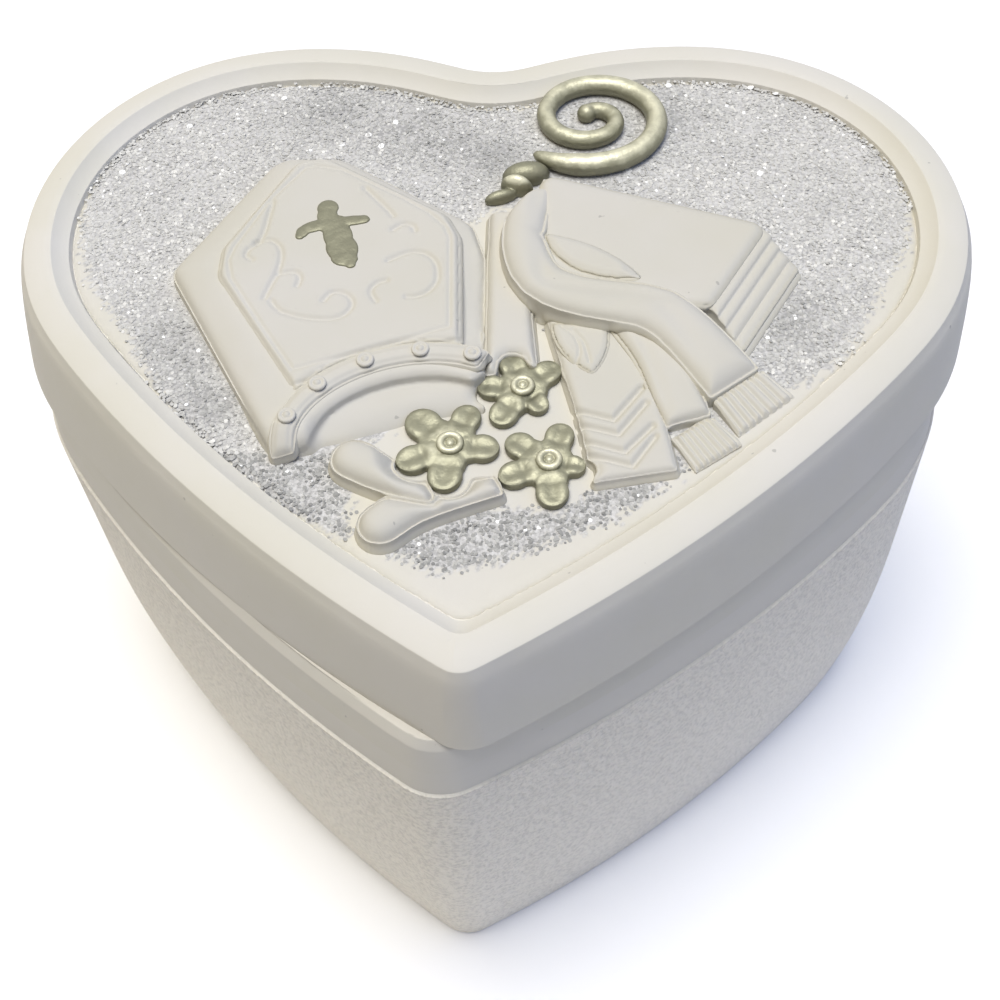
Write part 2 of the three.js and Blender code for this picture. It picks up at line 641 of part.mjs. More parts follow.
// Lappets: the two round-ended tails that fall out of the mitre
const upperLappetLine = [[-9.7, -14.3], [-6.4, -15.8], [-2.6, -16.6]];
const lowerLappetLine = [[-6.9, -20.7], [-4, -18.6], [2.4, -16.2]];
const upperLappet = ribbon(upperLappetLine, LAPPET_WIDTH, LAPPET_WIDTH, true);
const lowerLappet = ribbon(lowerLappetLine, LAPPET_WIDTH, LOWER_LAPPET_END, true);
layPlate("lappet_upper", RESIN, upperLappet, LAPPET_HEIGHT, 0.6);
layPlate("lappet_lower", RESIN, lowerLappet, LAPPET_HEIGHT, 0.6);

// Stole, upper end: it hangs from the crosier, crosses the staff, the book and the lower end
const foldLow = new THREE.QuadraticBezierCurve(point(5.7, 9.8), point(7, 4.3), point(14.3, 4.5));
const foldHigh = new THREE.QuadraticBezierCurve(point(14.3, 4.5), point(11.2, 8.8), point(5.7, 9.8));
const fold = [...foldLow.getPoints(7), ...foldHigh.getPoints(7).slice(1, -1)];
layPlate("stole_fold", RESIN, fold, FOLD_HEIGHT, 0.3, BOOK_HEIGHT, ["book_cover", ...coverSeats]);
const upperLine = [
  [4.6, 16.4], [3.8, 11.5], [3.9, 7.8], [5.3, 4.4], [8.2, 2.6], [11.6, 1.8], [15.2, 1], [18, -1.2],
  [22, -6.2],
];
const upperStole = ribbon(upperLine, UPPER_STOLE_NECK, UPPER_STOLE_WIDTH);
layPlate("stole_upper", RESIN, upperStole, UPPER_STOLE_HEIGHT, 0.4);
const upperFringeLine = [[22.2, -6], [24.7, -8.9]];
const upperFringe = ribbon(upperFringeLine, UPPER_STOLE_WIDTH, UPPER_STOLE_WIDTH * FRINGE_SPREAD);
layPlate("stole_fringe_upper", RESIN, upperFringe, UPPER_STOLE_HEIGHT - 2 * FRINGE_DROP, 0.3);

export default part;
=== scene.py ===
# A heart-shaped trinket box in white cast resin: a sandy base with a smooth neck, and a loose lid
# whose sunken field is strewn with glitter and carries church emblems in relief, some of them gilded.
# Metres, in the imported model's frame: the lid's tip points to -Y and its cleft to +Y.

import bpy
import math
import numpy as np
from mathutils import Matrix, Vector
from mathutils.bvhtree import BVHTree


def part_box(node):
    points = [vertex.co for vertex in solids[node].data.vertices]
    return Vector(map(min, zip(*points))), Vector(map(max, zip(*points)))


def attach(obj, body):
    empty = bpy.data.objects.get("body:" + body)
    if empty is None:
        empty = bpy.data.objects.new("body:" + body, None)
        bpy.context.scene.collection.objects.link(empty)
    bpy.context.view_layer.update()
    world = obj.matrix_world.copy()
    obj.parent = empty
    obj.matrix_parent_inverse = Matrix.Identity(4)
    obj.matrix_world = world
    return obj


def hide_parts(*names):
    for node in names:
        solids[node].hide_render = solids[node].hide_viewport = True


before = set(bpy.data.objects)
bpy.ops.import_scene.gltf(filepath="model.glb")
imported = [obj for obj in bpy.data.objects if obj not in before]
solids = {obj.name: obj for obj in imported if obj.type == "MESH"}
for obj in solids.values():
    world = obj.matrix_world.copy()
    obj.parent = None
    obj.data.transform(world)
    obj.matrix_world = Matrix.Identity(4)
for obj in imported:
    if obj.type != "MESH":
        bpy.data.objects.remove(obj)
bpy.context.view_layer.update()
MM = 0.001


# Base: the lower half of the box, cast in one with its smooth neck band and its heart-shaped well.
# The mould gives the outer wall a grain like fine sand. It stands on its flat underside.
WALL_TINT = (0.70, 0.674, 0.608)
# The sandy wall's tint is lighter than the smooth resin's: partly a whiter sand coat, partly painted light
# that its grain catches from above.
SANDY_TINT_AND_PAINTED_LIGHT = (1, 0.955, 0.855)
NECK_FOOT = 42.5 * MM
SANDY_SHOULDER = 41.8 * MM
RIM_TOP = 50.5 * MM
RIM_EDGE = 0.7 * MM
NECK_FLARE = 0.84 * MM
RIM_FLARE, RIM_EDGE_FLARE, RIM_EDGE_DROP = 0.3 * MM, 0.2 * MM, 0.3 * MM
SHOULDER_STEP = 0.22 * MM
SHARP = math.radians(24)
NEAR = 0.1 * MM


def only(piece):
    bpy.ops.object.select_all(action="DESELECT")
    piece.select_set(True)
    bpy.context.view_layer.objects.active = piece


def pick(piece, mode, wanted):
    """Selects a piece's faces or vertices by their place, and leaves it in edit mode."""
    only(piece)
    bpy.ops.object.mode_set(mode="EDIT")
    bpy.ops.mesh.select_mode(type=mode)
    bpy.ops.mesh.select_all(action="DESELECT")
    bpy.ops.object.mode_set(mode="OBJECT")
    for part in piece.data.polygons if mode == "FACE" else piece.data.vertices:
        part.select = bool(wanted(part))
    bpy.ops.object.mode_set(mode="EDIT")


def apply(piece, kind, **settings):
    only(piece)
    step = piece.modifiers.new(kind.title(), kind)
    for name, value in settings.items():
        setattr(step, name, value)
    bpy.ops.object.modifier_apply(modifier=step.name)


def points_of(piece):
    places = np.empty(len(piece.data.vertices) * 3, dtype=np.float32)
    piece.data.vertices.foreach_get("co", places)
    return places.reshape(-1, 3).astype(float)


def normals_of(piece):
    normals = np.empty(len(piece.data.vertices) * 3, dtype=np.float32)
    piece.data.vertex_normals.foreach_get("vector", normals)
    return normals.reshape(-1, 3).astype(float)


def move_points(piece, places):
    piece.data.vertices.foreach_set("co", places.astype(np.float32).ravel())
    piece.data.update()


def push_out(piece, chosen, amount):
    """Moves the chosen points level with the table, the way that their surface faces."""
    places, level = points_of(piece), normals_of(piece)
    level[:, 2] = 0
    level /= np.maximum(np.linalg.norm(level, axis=1), 1e-9)[:, None]
    places[chosen] += (level * np.reshape(amount, (-1, 1)))[chosen]
    move_points(piece, places)


def level_with(places, height):
    return abs(places[:, 2] - height) < NEAR


def soften(piece, chosen, rounds):
    """Rounds off the chosen points' edges and leaves the others where they are."""
    group = piece.vertex_groups.new(name="softened")
    group.add([int(index) for index in np.flatnonzero(chosen)], 1.0, "REPLACE")
    apply(piece, "SMOOTH", factor=0.5, iterations=rounds, vertex_group="softened")
    piece.vertex_groups.clear()


def copy_of_solid(node, name):
    """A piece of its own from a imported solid's mesh, with its loose triangles joined up."""
    bpy.ops.object.select_all(action="DESELECT")
    piece = bpy.data.objects.new(name, solids[node].data.copy())
    bpy.context.scene.collection.objects.link(piece)
    piece.data.materials.clear()
    only(piece)
    bpy.ops.object.mode_set(mode="EDIT")
    bpy.ops.mesh.select_all(action="SELECT")
    bpy.ops.mesh.remove_doubles(threshold=0.002 * MM)
    bpy.ops.mesh.tris_convert_to_quads(face_threshold=math.radians(12), shape_threshold=math.radians(60))
    bpy.ops.object.mode_set(mode="OBJECT")
    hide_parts(node)
    return piece


def node_tree(material):
    material.use_nodes = True
    tree = material.node_tree
    return tree, tree.nodes["Principled BSDF"]


def add_noise(tree, size, detail=3.0, roughness=0.55):
    """A noise on the object's own coordinates, whose lumps are about so many metres across."""
    place = tree.nodes.new("ShaderNodeTexCoord")
    noise = tree.nodes.new("ShaderNodeTexNoise")
    noise.inputs["Scale"].default_value = 1 / size
    noise.inputs["Detail"].default_value = detail
    noise.inputs["Roughness"].default_value = roughness
    tree.links.new(place.outputs["Object"], noise.inputs["Vector"])
    return noise.outputs["Fac"]


def add_ramp(tree, value, stops):
    ramp = tree.nodes.new("ShaderNodeValToRGB")
    elements = ramp.color_ramp.elements
    while len(elements) < len(stops):
        elements.new(0.5)
    for element, (at, colour) in zip(elements, stops):
        element.position = at
        element.color = (*colour, 1)
    tree.links.new(value, ramp.inputs["Fac"])
    return ramp.outputs["Color"]


def add_mix(tree, factor, first, second):
    """A mix of two colours, each of which is a node's output or a plain tint."""
    mix = tree.nodes.new("ShaderNodeMix")
    mix.data_type = "RGBA"
    tree.links.new(factor, mix.inputs["Factor"])
    for side, colour in (("A", first), ("B", second)):
        if isinstance(colour, tuple):
            mix.inputs[side].default_value = (*colour, 1)
        else:
            tree.links.new(colour, mix.inputs[side])
    return mix.outputs["Result"]


def add_math(tree, operation, *values):
    """A sum on the values in their order, each of which is a node's output or a number."""
    step = tree.nodes.new("ShaderNodeMath")
    step.operation = operation
    for place, value in zip(step.inputs, values):
        if isinstance(value, (int, float)):
            place.default_value = value
        else:
            tree.links.new(value, place)
    return step.outputs[0]


def add_range(tree, value, start, end, low=0.0, high=1.0):
    """A value that goes from low to high while another goes from start to end."""
    step = tree.nodes.new("ShaderNodeMapRange")
    step.inputs["From Min"].default_value = start
    step.inputs["From Max"].default_value = end
    step.inputs["To Min"].default_value = low
    step.inputs["To Max"].default_value = high
    tree.links.new(value, step.inputs["Value"])
    return step.outputs["Result"]


def read_mark(tree, name):
    """What a mark of this name says on each point of a piece."""
    mark = tree.nodes.new("ShaderNodeAttribute")
    mark.attribute_name = name
    return mark.outputs["Fac"]


def add_bump(tree, shader, height, distance, strength=1.0, under=None):
    bump = tree.nodes.new("ShaderNodeBump")
    bump.inputs["Distance"].default_value = distance
    bump.inputs["Strength"].default_value = strength
    tree.links.new(height, bump.inputs["Height"])
    if under is not None:
        tree.links.new(under.outputs["Normal"], bump.inputs["Normal"])
    tree.links.new(bump.outputs["Normal"], shader.inputs["Normal"])
    return bump


def shade(tint, share):
    return tuple(min(1.0, c * share) for c in tint)


def smooth_resin(name, tint, crease_shade=None):
    """Matt white cast resin: faintly clouded, with few small specks, and with a beige painted shade in the
    creases where its piece meets others.
    """
    material = bpy.data.materials.new(name)
    tree, shader = node_tree(material)
    clouds = add_noise(tree, 14 * MM, 3)
    warm = shade(tint, 0.965)[:2] + (tint[2] * 0.93,)
    clouded = add_ramp(tree, clouds, [(0.35, warm), (0.62, tint)])
    specks = add_ramp(tree, add_noise(tree, 0.9 * MM, 1, 0.4), [(0.80, (0, 0, 0)), (0.82, (1, 1, 1))])
    colour = add_mix(tree, specks, clouded, shade(tint, 0.72))
    if crease_shade is not None:
        # Painted shade in the creases between pieces.
        colour = add_mix(tree, read_mark(tree, "painted_crease_shade"), colour, crease_shade)
    tree.links.new(colour, shader.inputs["Base Color"])
    sheen = add_ramp(tree, clouds, [(0.3, (0.62,) * 3), (0.7, (0.75,) * 3)])
    tree.links.new(sheen, shader.inputs["Roughness"])
    shader.inputs["Specular IOR Level"].default_value = 0.25
    rolling = add_bump(tree, shader, add_noise(tree, 3.5 * MM, 2), 0.12 * MM, 0.5)
    add_bump(tree, shader, add_noise(tree, 0.35 * MM, 2), 0.02 * MM, 0.35, rolling)
    return material


def sandy_resin(name, tint, smooth_tint, sandy_top):
    """The same resin with a grain like fine sand pressed into it, up to the foot of its smooth neck. Its
    lighter tint is partly a whiter sand coat and partly painted light that the grain catches from above.
    """
    material = bpy.data.materials.new(name)
    tree, shader = node_tree(material)
    place = tree.nodes.new("ShaderNodeTexCoord")
    split = tree.nodes.new("ShaderNodeSeparateXYZ")
    tree.links.new(place.outputs["Object"], split.inputs["Vector"])
    below_neck = add_range(tree, split.outputs["Z"], sandy_top, sandy_top - 0.3 * MM)
    grain = add_noise(tree, 0.45 * MM, 3, 0.7)
    sand = add_ramp(tree, grain, [(0.36, shade(tint, 0.82)), (0.56, tint)])
    tree.links.new(add_mix(tree, below_neck, smooth_tint, sand), shader.inputs["Base Color"])
    shader.inputs["Roughness"].default_value = 0.82
    shader.inputs["Specular IOR Level"].default_value = 0.3
    lumps = add_math(tree, "MULTIPLY", add_noise(tree, 1.5 * MM, 3), below_neck)
    grains = add_math(tree, "MULTIPLY", grain, below_neck)
    lumpy = add_bump(tree, shader, lumps, 0.25 * MM, 0.5)
    add_bump(tree, shader, grains, 0.6 * MM, 0.9, lumpy)
    return material


resin = smooth_resin("cast_resin", WALL_TINT)
sandy = sandy_resin("sandy_resin", SANDY_TINT_AND_PAINTED_LIGHT, WALL_TINT, NECK_FOOT)

base = copy_of_solid("base_box", "base_cup")
places, facing = points_of(base), normals_of(base)
outer = (places[:, :2] * facing[:, :2]).sum(axis=1) > 0
rim_edge = outer & level_with(places, RIM_TOP - RIM_EDGE)
shoulder = outer & level_with(places, SANDY_SHOULDER)
push_out(base, outer & level_with(places, NECK_FOOT), NECK_FLARE)
push_out(base, outer & level_with(places, RIM_TOP), RIM_FLARE)
push_out(base, rim_edge, RIM_EDGE_FLARE)
places = points_of(base)
places[rim_edge, 2] -= RIM_EDGE_DROP
places[shoulder, 2] = NECK_FOOT - SHOULDER_STEP
move_points(base, places)
apply(base, "BEVEL", width=0.2 * MM, segments=3, limit_method="ANGLE", angle_limit=SHARP)
apply(base, "SUBSURF", levels=2, render_levels=2)
rise = normals_of(base)[:, 2]
soften(base, (points_of(base)[:, 2] > RIM_TOP - 3.5 * MM) & (rise > 0.003) & (rise < 0.999), 80)
bpy.ops.object.shade_smooth()
base.data.materials.append(resin)
base.data.materials.append(sandy)
for face in base.data.polygons:
    outwards = face.normal.x * face.center.x + face.normal.y * face.center.y > 0
    if outwards and 0.5 * MM < face.center.z < NECK_FOOT + 3 * MM:
        face.material_index = 1
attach(base, "base")


# Lid: a second casting of the same white resin, with a flared wall, a raised frame with a stepped inner
# edge and a sunken field. Its lip drops loosely into the well, so it lifts straight off.
FRAME_TOP = 61.5 * MM
FIELD_LEVEL = 59.9 * MM
UPPER_EDGE, LOWER_EDGE = FRAME_TOP - 0.3 * MM, FRAME_TOP - 1 * MM
UPPER_EDGE_DROP, LOWER_EDGE_DROP = 0.25 * MM, 1.5 * MM
INNER_NARROWING, OUTER_NARROWING, UPPER_NARROWING = 0.35 * MM, 1.1 * MM, 0.5 * MM

lid = copy_of_solid("lid_shell", "lid_casting")
places, facing = points_of(lid), normals_of(lid)
inner = ((places[:, :2] - (0, 2 * MM)) * facing[:, :2]).sum(axis=1) < 0
frame_top = level_with(places, FRAME_TOP)
upper_edge = ~inner & level_with(places, UPPER_EDGE)
lower_edge = ~inner & level_with(places, LOWER_EDGE)
push_out(lid, inner & frame_top, -INNER_NARROWING)
push_out(lid, ~inner & frame_top, -OUTER_NARROWING)
push_out(lid, upper_edge, -UPPER_NARROWING)
places = points_of(lid)
places[upper_edge, 2] -= UPPER_EDGE_DROP
places[lower_edge, 2] -= LOWER_EDGE_DROP
move_points(lid, places)
apply(lid, "BEVEL", width=0.3 * MM, segments=3, limit_method="ANGLE", angle_limit=SHARP)
apply(lid, "SUBSURF", levels=2, render_levels=2)
rise = normals_of(lid)[:, 2]
soften(lid, (points_of(lid)[:, 2] > FIELD_LEVEL - 0.1 * MM) & (rise > 0.05) & (rise < 0.999), 60)
bpy.ops.object.shade_smooth()
lid.data.materials.append(resin)
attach(lid, "lid")


# Mitre: a bishop's tall cap lying on the field, cast with the lid, so its edges are soft and its foot
# grows out of the field. Its body slopes up to a flat front, which has a double border and fine scrolls.
SINK = 0.6 * MM
FILLET = 0.75 * MM
# Painted shade: a beige colour laid on a relief where it meets other pieces, standing for the shade in the
# creases between them.
CREASE_PAINTED_SHADE = (0.56, 0.53, 0.43)
MITRE_PIVOT = Vector((-8.2, -7.7)) * MM
MITRE_LEAN = math.radians(17)
PANEL_EDGE = [
    (-7, 2.9), (-8.8, 8.9), (-10.6, 15.5), (-10.5, 18), (-9.6, 19.7), (-5.7, 24.4), (-1.2, 28.2), (0.2, 28.2),
    (2.8, 26.8), (5.2, 24.1), (7.8, 21.1), (9.6, 18.7), (10.7, 16.4), (10.8, 14.7), (8.1, 3.8),
]
SCROLLS = [
    [(-4.6, 23.9), (-5.2, 22.4), (-6.1, 20.2), (-7.1, 19), (-7.8, 18.6), (-8.1, 17.9), (-7.7, 17.3)],
    [(-6.9, 19.3), (-5.7, 19.2), (-5, 18.1), (-5.1, 16.7), (-5.8, 15), (-6.7, 13.6), (-7.4, 12.4)],
    [(-6.9, 11.9), (-6.3, 10.5), (-4.7, 9.3), (-2.9, 8.5), (-1.5, 8.3), (-0.4, 8.9), (0, 9.8), (-0.5, 10.9),
     (-1.5, 11.3), (-2.4, 10.6)],
    [(-5.5, 14.9), (-4.3, 14.7), (-3.9, 13.9), (-4.3, 13)],
    [(4.1, 13.6), (5.2, 13.9), (6.4, 14), (7.5, 13.4), (8.1, 12), (7.8, 10.2), (6.9, 9.1), (5.7, 8.7),
     (4.7, 8.9)],
    [(5.3, 17.2), (6.3, 17.6), (7.1, 17.2), (7.2, 16.5)],
    [(2, 9.2), (1.8, 10.4), (2.5, 11.2), (3.4, 11.3)],
    [(4, 23.1), (4.8, 21.3), (5.4, 19.8), (5.7, 18.9)],
]
PANEL_BORDER = 0.75 * MM
BODY_LIFT, BODY_SLOPE, BODY_DROP = 0.3 * MM, 3 * MM, 0.95 * MM
MOUTH_LINE = [(-9, -5), (-4, 0), (2, 1.5), (11, -1)]
MOUTH_MIDDLE, MOUTH_HALF = 1 * MM, 4.5 * MM
MOUTH_START, MOUTH_REACH, MOUTH_DEPTH = 0.8 * MM, 3.6 * MM, 1.5 * MM
BAND_CENTRE = (1.5, -4.6)
BAND_REACH = (11.5, 8.5)
BAND_WIDTH = 2.05
BAND_LEVEL = 63.2 * MM
BAND_DROP = 0.25 * MM
FLOWER_SPOT = (-1.8, -12.5)
BAND_FOOT = ((-15.3, -11.6), (-15.6, -15))
STUD_NODES = ["mitre_stud_1", "mitre_stud_2", "mitre_stud_3", "mitre_stud_4", "mitre_stud_5"]
STUD_SIZES = (0.6 * MM, 0.2 * MM, 0.4 * MM)
LAPPET_DROP, LAPPET_FREE, LAPPET_FALL = 1.2 * MM, 4.2 * MM, 2.2 * MM

# The emblems' resin is the lid's resin at 0.87 of its tint: painted shade for the sunken field they lie in.
shaded_relief_resin = smooth_resin("relief_resin_painted_shade", shade(WALL_TINT, 0.87), CREASE_PAINTED_SHADE)


def solids_but(*nodes):
    """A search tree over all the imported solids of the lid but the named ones."""
    corners, faces = [], []
    for node, solid in solids.items():
        if node not in nodes and node != "base_box":
            first = len(corners)
            corners += [vertex.co.copy() for vertex in solid.data.vertices]
            faces += [[first + corner for corner in face.vertices] for face in solid.data.polygons]
    return BVHTree.FromPolygons(corners, faces)


def walls_of(node):
    mesh = solids[node].data
    faces = [list(face.vertices) for face in mesh.polygons if abs(face.normal.z) < 0.5]
    return BVHTree.FromPolygons([vertex.co.copy() for vertex in mesh.vertices], faces)


def reach_to(tree, places, chosen, limit):
    """How far each chosen point is from the tree's faces, up to a limit."""
    far = np.full(len(places), limit)
    for index in np.flatnonzero(chosen):
        found = tree.find_nearest(Vector(places[index]), limit)[3]
        if found is not None:
            far[index] = found
    return far


def soft_relief(node, name, grain, rounds, rim=(0.5, 0.15), sink=SINK, material=shaded_relief_resin):
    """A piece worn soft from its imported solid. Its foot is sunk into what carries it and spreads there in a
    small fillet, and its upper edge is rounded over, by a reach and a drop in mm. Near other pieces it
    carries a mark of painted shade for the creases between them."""
    piece = copy_of_solid(node, name)
    pick(piece, "FACE", lambda face: face.normal.z < -0.3)
    bpy.ops.transform.translate(value=(0, 0, -sink))
    bpy.ops.object.mode_set(mode="OBJECT")
    apply(piece, "REMESH", mode="VOXEL", voxel_size=grain)
    apply(piece, "SMOOTH", factor=0.5, iterations=rounds)
    places, rise = points_of(piece), normals_of(piece)[:, 2]
    over, drop = rim[0] * MM, rim[1] * MM
    near_edge = 1 - reach_to(walls_of(node), places, rise > 0.35, over) / over
    places[:, 2] -= drop * near_edge ** 2
    move_points(piece, places)
    near_other = 1 - reach_to(solids_but(node), places, rise < 0.8, FILLET) / FILLET
    push_out(piece, near_other > 0, 0.55 * FILLET * near_other ** 2)
    # This mark is painted shade: it darkens the piece near other pieces, where shade falls in the creases.
    painted_crease_shade = piece.data.attributes.new("painted_crease_shade", "FLOAT", "POINT")
    painted_crease_shade.data.foreach_set("value", (0.85 * np.clip(near_other, 0, 1) ** 1.5).astype(np.float32))
    apply(piece, "SMOOTH", factor=0.5, iterations=9)
    bpy.ops.object.shade_smooth()
    piece.data.materials.clear()
    piece.data.materials.append(material)
    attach(piece, "lid")
    return piece


def curved(line, steps=6):
    """A smooth line through the given points: a Catmull-Rom curve."""
    ends = [line[0], *line, line[-1]]
    out = []
    for a, b, c, d in zip(ends, ends[1:], ends[2:], ends[3:]):
        for step in range(steps):
            t = step / steps
            point = []
            for p, q, r, s in zip(a, b, c, d):
                bend, twist = 2 * p - 5 * q + 4 * r - s, 3 * q - p - 3 * r + s
                point.append(0.5 * (2 * q + (r - p) * t + bend * t * t + twist * t ** 3))
            out.append(tuple(point))
    return out + [tuple(line[-1])]


def on_mitre(line):
    """A line drawn upright on the mitre, in mm, laid where the mitre lies, in metres."""
    turn = Matrix.Rotation(MITRE_LEAN, 2)
    return [tuple(MITRE_PIVOT + turn @ (Vector(p) * MM)) for p in line]


def away_from(places, line):
    """How far each point is from a line, seen from above."""
    flat = places[:, :2]
    nearest = np.full(len(flat), 1.0)
    for a, b in zip(line, line[1:]):
        start, run = np.array(a), np.array(b) - np.array(a)
        along = np.clip((flat - start) @ run / max(run @ run, 1e-12), 0, 1)
        nearest = np.minimum(nearest, np.linalg.norm(flat - start - along[:, None] * run, axis=1))
    return nearest


def carve(piece, distance, depth, half_width):
    """Presses a soft groove into a piece's upper side where the distance is small."""
    places = points_of(piece)
    upwards = np.clip(normals_of(piece)[:, 2] * 2 - 0.4, 0, 1)
    places[:, 2] -= depth * np.exp(-(distance / half_width) ** 2) * upwards
    move_points(piece, places)


def melt(piece, grain, rounds):
    """Makes one smooth closed skin of a piece's overlapping parts."""
    bpy.ops.object.transform_apply(location=True, rotation=True, scale=True)
    apply(piece, "REMESH", mode="VOXEL", voxel_size=grain)
    apply(piece, "SMOOTH", factor=0.5, iterations=rounds)
    bpy.ops.object.shade_smooth()


def ring_and_dot(name, ring_middle, dot_middle, sizes, rounds, segments=(36, 12)):
    """A little ring with a dot in it, from the ring's radius and thickness and the dot's radius."""
    bpy.ops.object.select_all(action="DESELECT")
    bpy.ops.mesh.primitive_torus_add(
        location=ring_middle, major_radius=sizes[0], minor_radius=sizes[1],
        major_segments=segments[0], minor_segments=segments[1])
    piece = bpy.context.active_object
    bpy.ops.mesh.primitive_uv_sphere_add(location=dot_middle, radius=sizes[2], segments=20, ring_count=12)
    piece.select_set(True)
    bpy.context.view_layer.objects.active = piece
    bpy.ops.object.join()
    piece.name = name
    melt(piece, 0.07 * MM, rounds)
    return piece


def finish_piece(piece, material, node):
    """Gives a piece modelled afresh its material, hides the solid that it stands for, and puts it on the lid.
    """
    piece.data.materials.append(material)
    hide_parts(node)
    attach(piece, "lid")


def slope_down(piece, start, end, drop):
    """Lets a piece hang lower and lower from a start to an end point, in mm."""
    places = points_of(piece)
    begin, run = np.array(start) * MM, (np.array(end) - np.array(start)) * MM
    along = np.clip((places[:, :2] - begin) @ run / (run @ run), 0, 1)
    places[:, 2] -= drop * along ** 1.4
    move_points(piece, places)


mitre = soft_relief("mitre_body", "mitre_crown", 0.17 * MM, 30, (0.7, 0.3), 1 * MM)
places, rise = points_of(mitre), normals_of(mitre)[:, 2]
upper = rise > 0.2
inwards = reach_to(walls_of("mitre_body"), places, upper, BODY_SLOPE) / BODY_SLOPE
keep = np.clip(away_from(places, on_mitre(MOUTH_LINE)) / (6 * MM) - 0.4, 0, 1)
places[upper, 2] += BODY_LIFT
places[:, 2] -= np.where(upper, BODY_DROP * (1 - inwards) ** 1.5, 0) * keep
upright = (places[:, :2] - np.array(MITRE_PIVOT)) @ np.array(Matrix.Rotation(MITRE_LEAN, 2))
below_mouth = np.clip((-MOUTH_START - upright[:, 1]) / MOUTH_REACH, 0, 1)
within = np.clip((MOUTH_HALF - abs(upright[:, 0] - MOUTH_MIDDLE)) / MM + 3, 0, 1)
places[:, 2] -= np.where(upper, MOUTH_DEPTH * below_mouth ** 1.5 * within, 0)
move_points(mitre, places)
slope_down(mitre, *BAND_FOOT, 1.9 * MM)
apply(mitre, "SMOOTH", factor=0.5, iterations=12)

front = soft_relief("mitre_front", "mitre_panel", 0.12 * MM, 8, (0.6, 0.25))
edge_line = on_mitre(PANEL_EDGE + PANEL_EDGE[:1])
carve(front, away_from(points_of(front), edge_line) - PANEL_BORDER, 0.16 * MM, 0.2 * MM)
for scroll in SCROLLS:
    carve(front, away_from(points_of(front), on_mitre(curved(scroll))), 0.26 * MM, 0.27 * MM)

band = soft_relief("mitre_band", "mitre_headband", 0.12 * MM, 8, (0.5, 0.3))
for inset in (0.38, BAND_WIDTH - 0.38):
    border = []
    for degrees in range(36, 186, 4):
        angle = math.radians(degrees)
        border.append((
            BAND_CENTRE[0] + (BAND_REACH[0] - inset) * math.cos(angle),
            BAND_CENTRE[1] + (BAND_REACH[1] - inset) * math.sin(angle),
        ))
    carve(band, away_from(points_of(band), on_mitre(border)), 0.15 * MM, 0.17 * MM)
places = points_of(band)
places[:, 2] = np.where(places[:, 2] > BAND_LEVEL - 0.6 * MM, places[:, 2] - BAND_DROP, places[:, 2])
move_points(band, places)
slope_down(band, *BAND_FOOT, 2.2 * MM)
apply(band, "SMOOTH", factor=0.5, iterations=3)

for number, node in enumerate(STUD_NODES):
    node_low, node_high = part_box(node)
    middle = (node_low + node_high) / 2
    foot = Vector((middle.x, middle.y, node_low.z - BAND_DROP))
    stud = ring_and_dot(f"mitre_ring_stud_{number + 1}", foot + Vector((0, 0, 0.1 * MM)), foot, STUD_SIZES, 4)
    finish_piece(stud, shaded_relief_resin, node)

for node, name in (("lappet_upper", "lappet_tail_upper"), ("lappet_lower", "lappet_tail_lower")):
    lappet = soft_relief(node, name, 0.14 * MM, 30, (1.9, 1), 1 * MM)
    places = points_of(lappet)
    from_flower = np.linalg.norm(places[:, :2] - np.array(FLOWER_SPOT) * MM, axis=1)
    places[:, 2] -= LAPPET_DROP * np.clip(1 - (from_flower - LAPPET_FREE) / LAPPET_FALL, 0, 1)
    move_points(lappet, places)
    apply(lappet, "SMOOTH", factor=0.5, iterations=12)


# Gilt cross: gilt paint laid on by hand over a low cast cross on the mitre's front, so its edges are blobby
# and uneven. It is made of overlapping blobs, each with a middle, half-widths and a turn, melted into one.
# The gilt goes from painted shade in its low parts to pale paint on its high parts, which is partly rubbed
# wear and partly painted highlight.
GILT_HOLLOW_SHADE = (0.2, 0.195, 0.135)
GILT_TINT = (0.31, 0.302, 0.214)
GILT_RUBBED_AND_LIT = (0.64, 0.62, 0.47)
CROSS_BLOBS = [
    ((0.15, 21.5), (1.05, 1.05), 0), ((-0.1, 20.5), (1, 1.2), 0), ((0.25, 19.3), (1.5, 1.15), 0),
    ((-1.5, 19.55), (1.6, 0.72), 5), ((-2.7, 19.15), (0.6, 0.7), 0), ((-3, 18.8), (0.45, 0.5), 0),
    ((2, 19.25), (1.7, 0.62), -10), ((3, 19.1), (0.6, 0.55), 0), ((0.35, 17.8), (1.4, 2), 0),
    ((0.4, 16.2), (1.5, 1.9), 8), ((0.35, 14.9), (1.3, 1), -25), ((0.75, 14), (0.5, 0.5), 0),
]
CROSS_FLAT = 0.12 * MM


def gilding(name):
    """Champagne gilt paint: painted shade darkens it low down and in the hollows, and it is pale where it
    stands up, partly rubbed wear and partly painted highlight.
    """
    material = bpy.data.materials.new(name)
    tree, shader = node_tree(material)
    clouds = add_noise(tree, 1.1 * MM, 4)
    # Low parts get the gilt's painted shade, high parts its rubbed and lit tone.
    wear_and_shade = add_math(tree, "MULTIPLY_ADD", clouds, 0.45, read_mark(tree, "height_wear_and_shade"))
    colour = add_ramp(tree, wear_and_shade, [(0.25, GILT_HOLLOW_SHADE), (0.72, GILT_TINT), (1, GILT_RUBBED_AND_LIT)])
    tree.links.new(colour, shader.inputs["Base Color"])
    shader.inputs["Metallic"].default_value = 0.58
    polish = add_ramp(tree, clouds, [(0.3, (0.4,) * 3), (0.7, (0.54,) * 3)])
    tree.links.new(polish, shader.inputs["Roughness"])
    lumps = add_bump(tree, shader, clouds, 0.15 * MM, 0.6)
    add_bump(tree, shader, add_noise(tree, 0.4 * MM, 3), 0.06 * MM, 0.6, lumps)
    return material


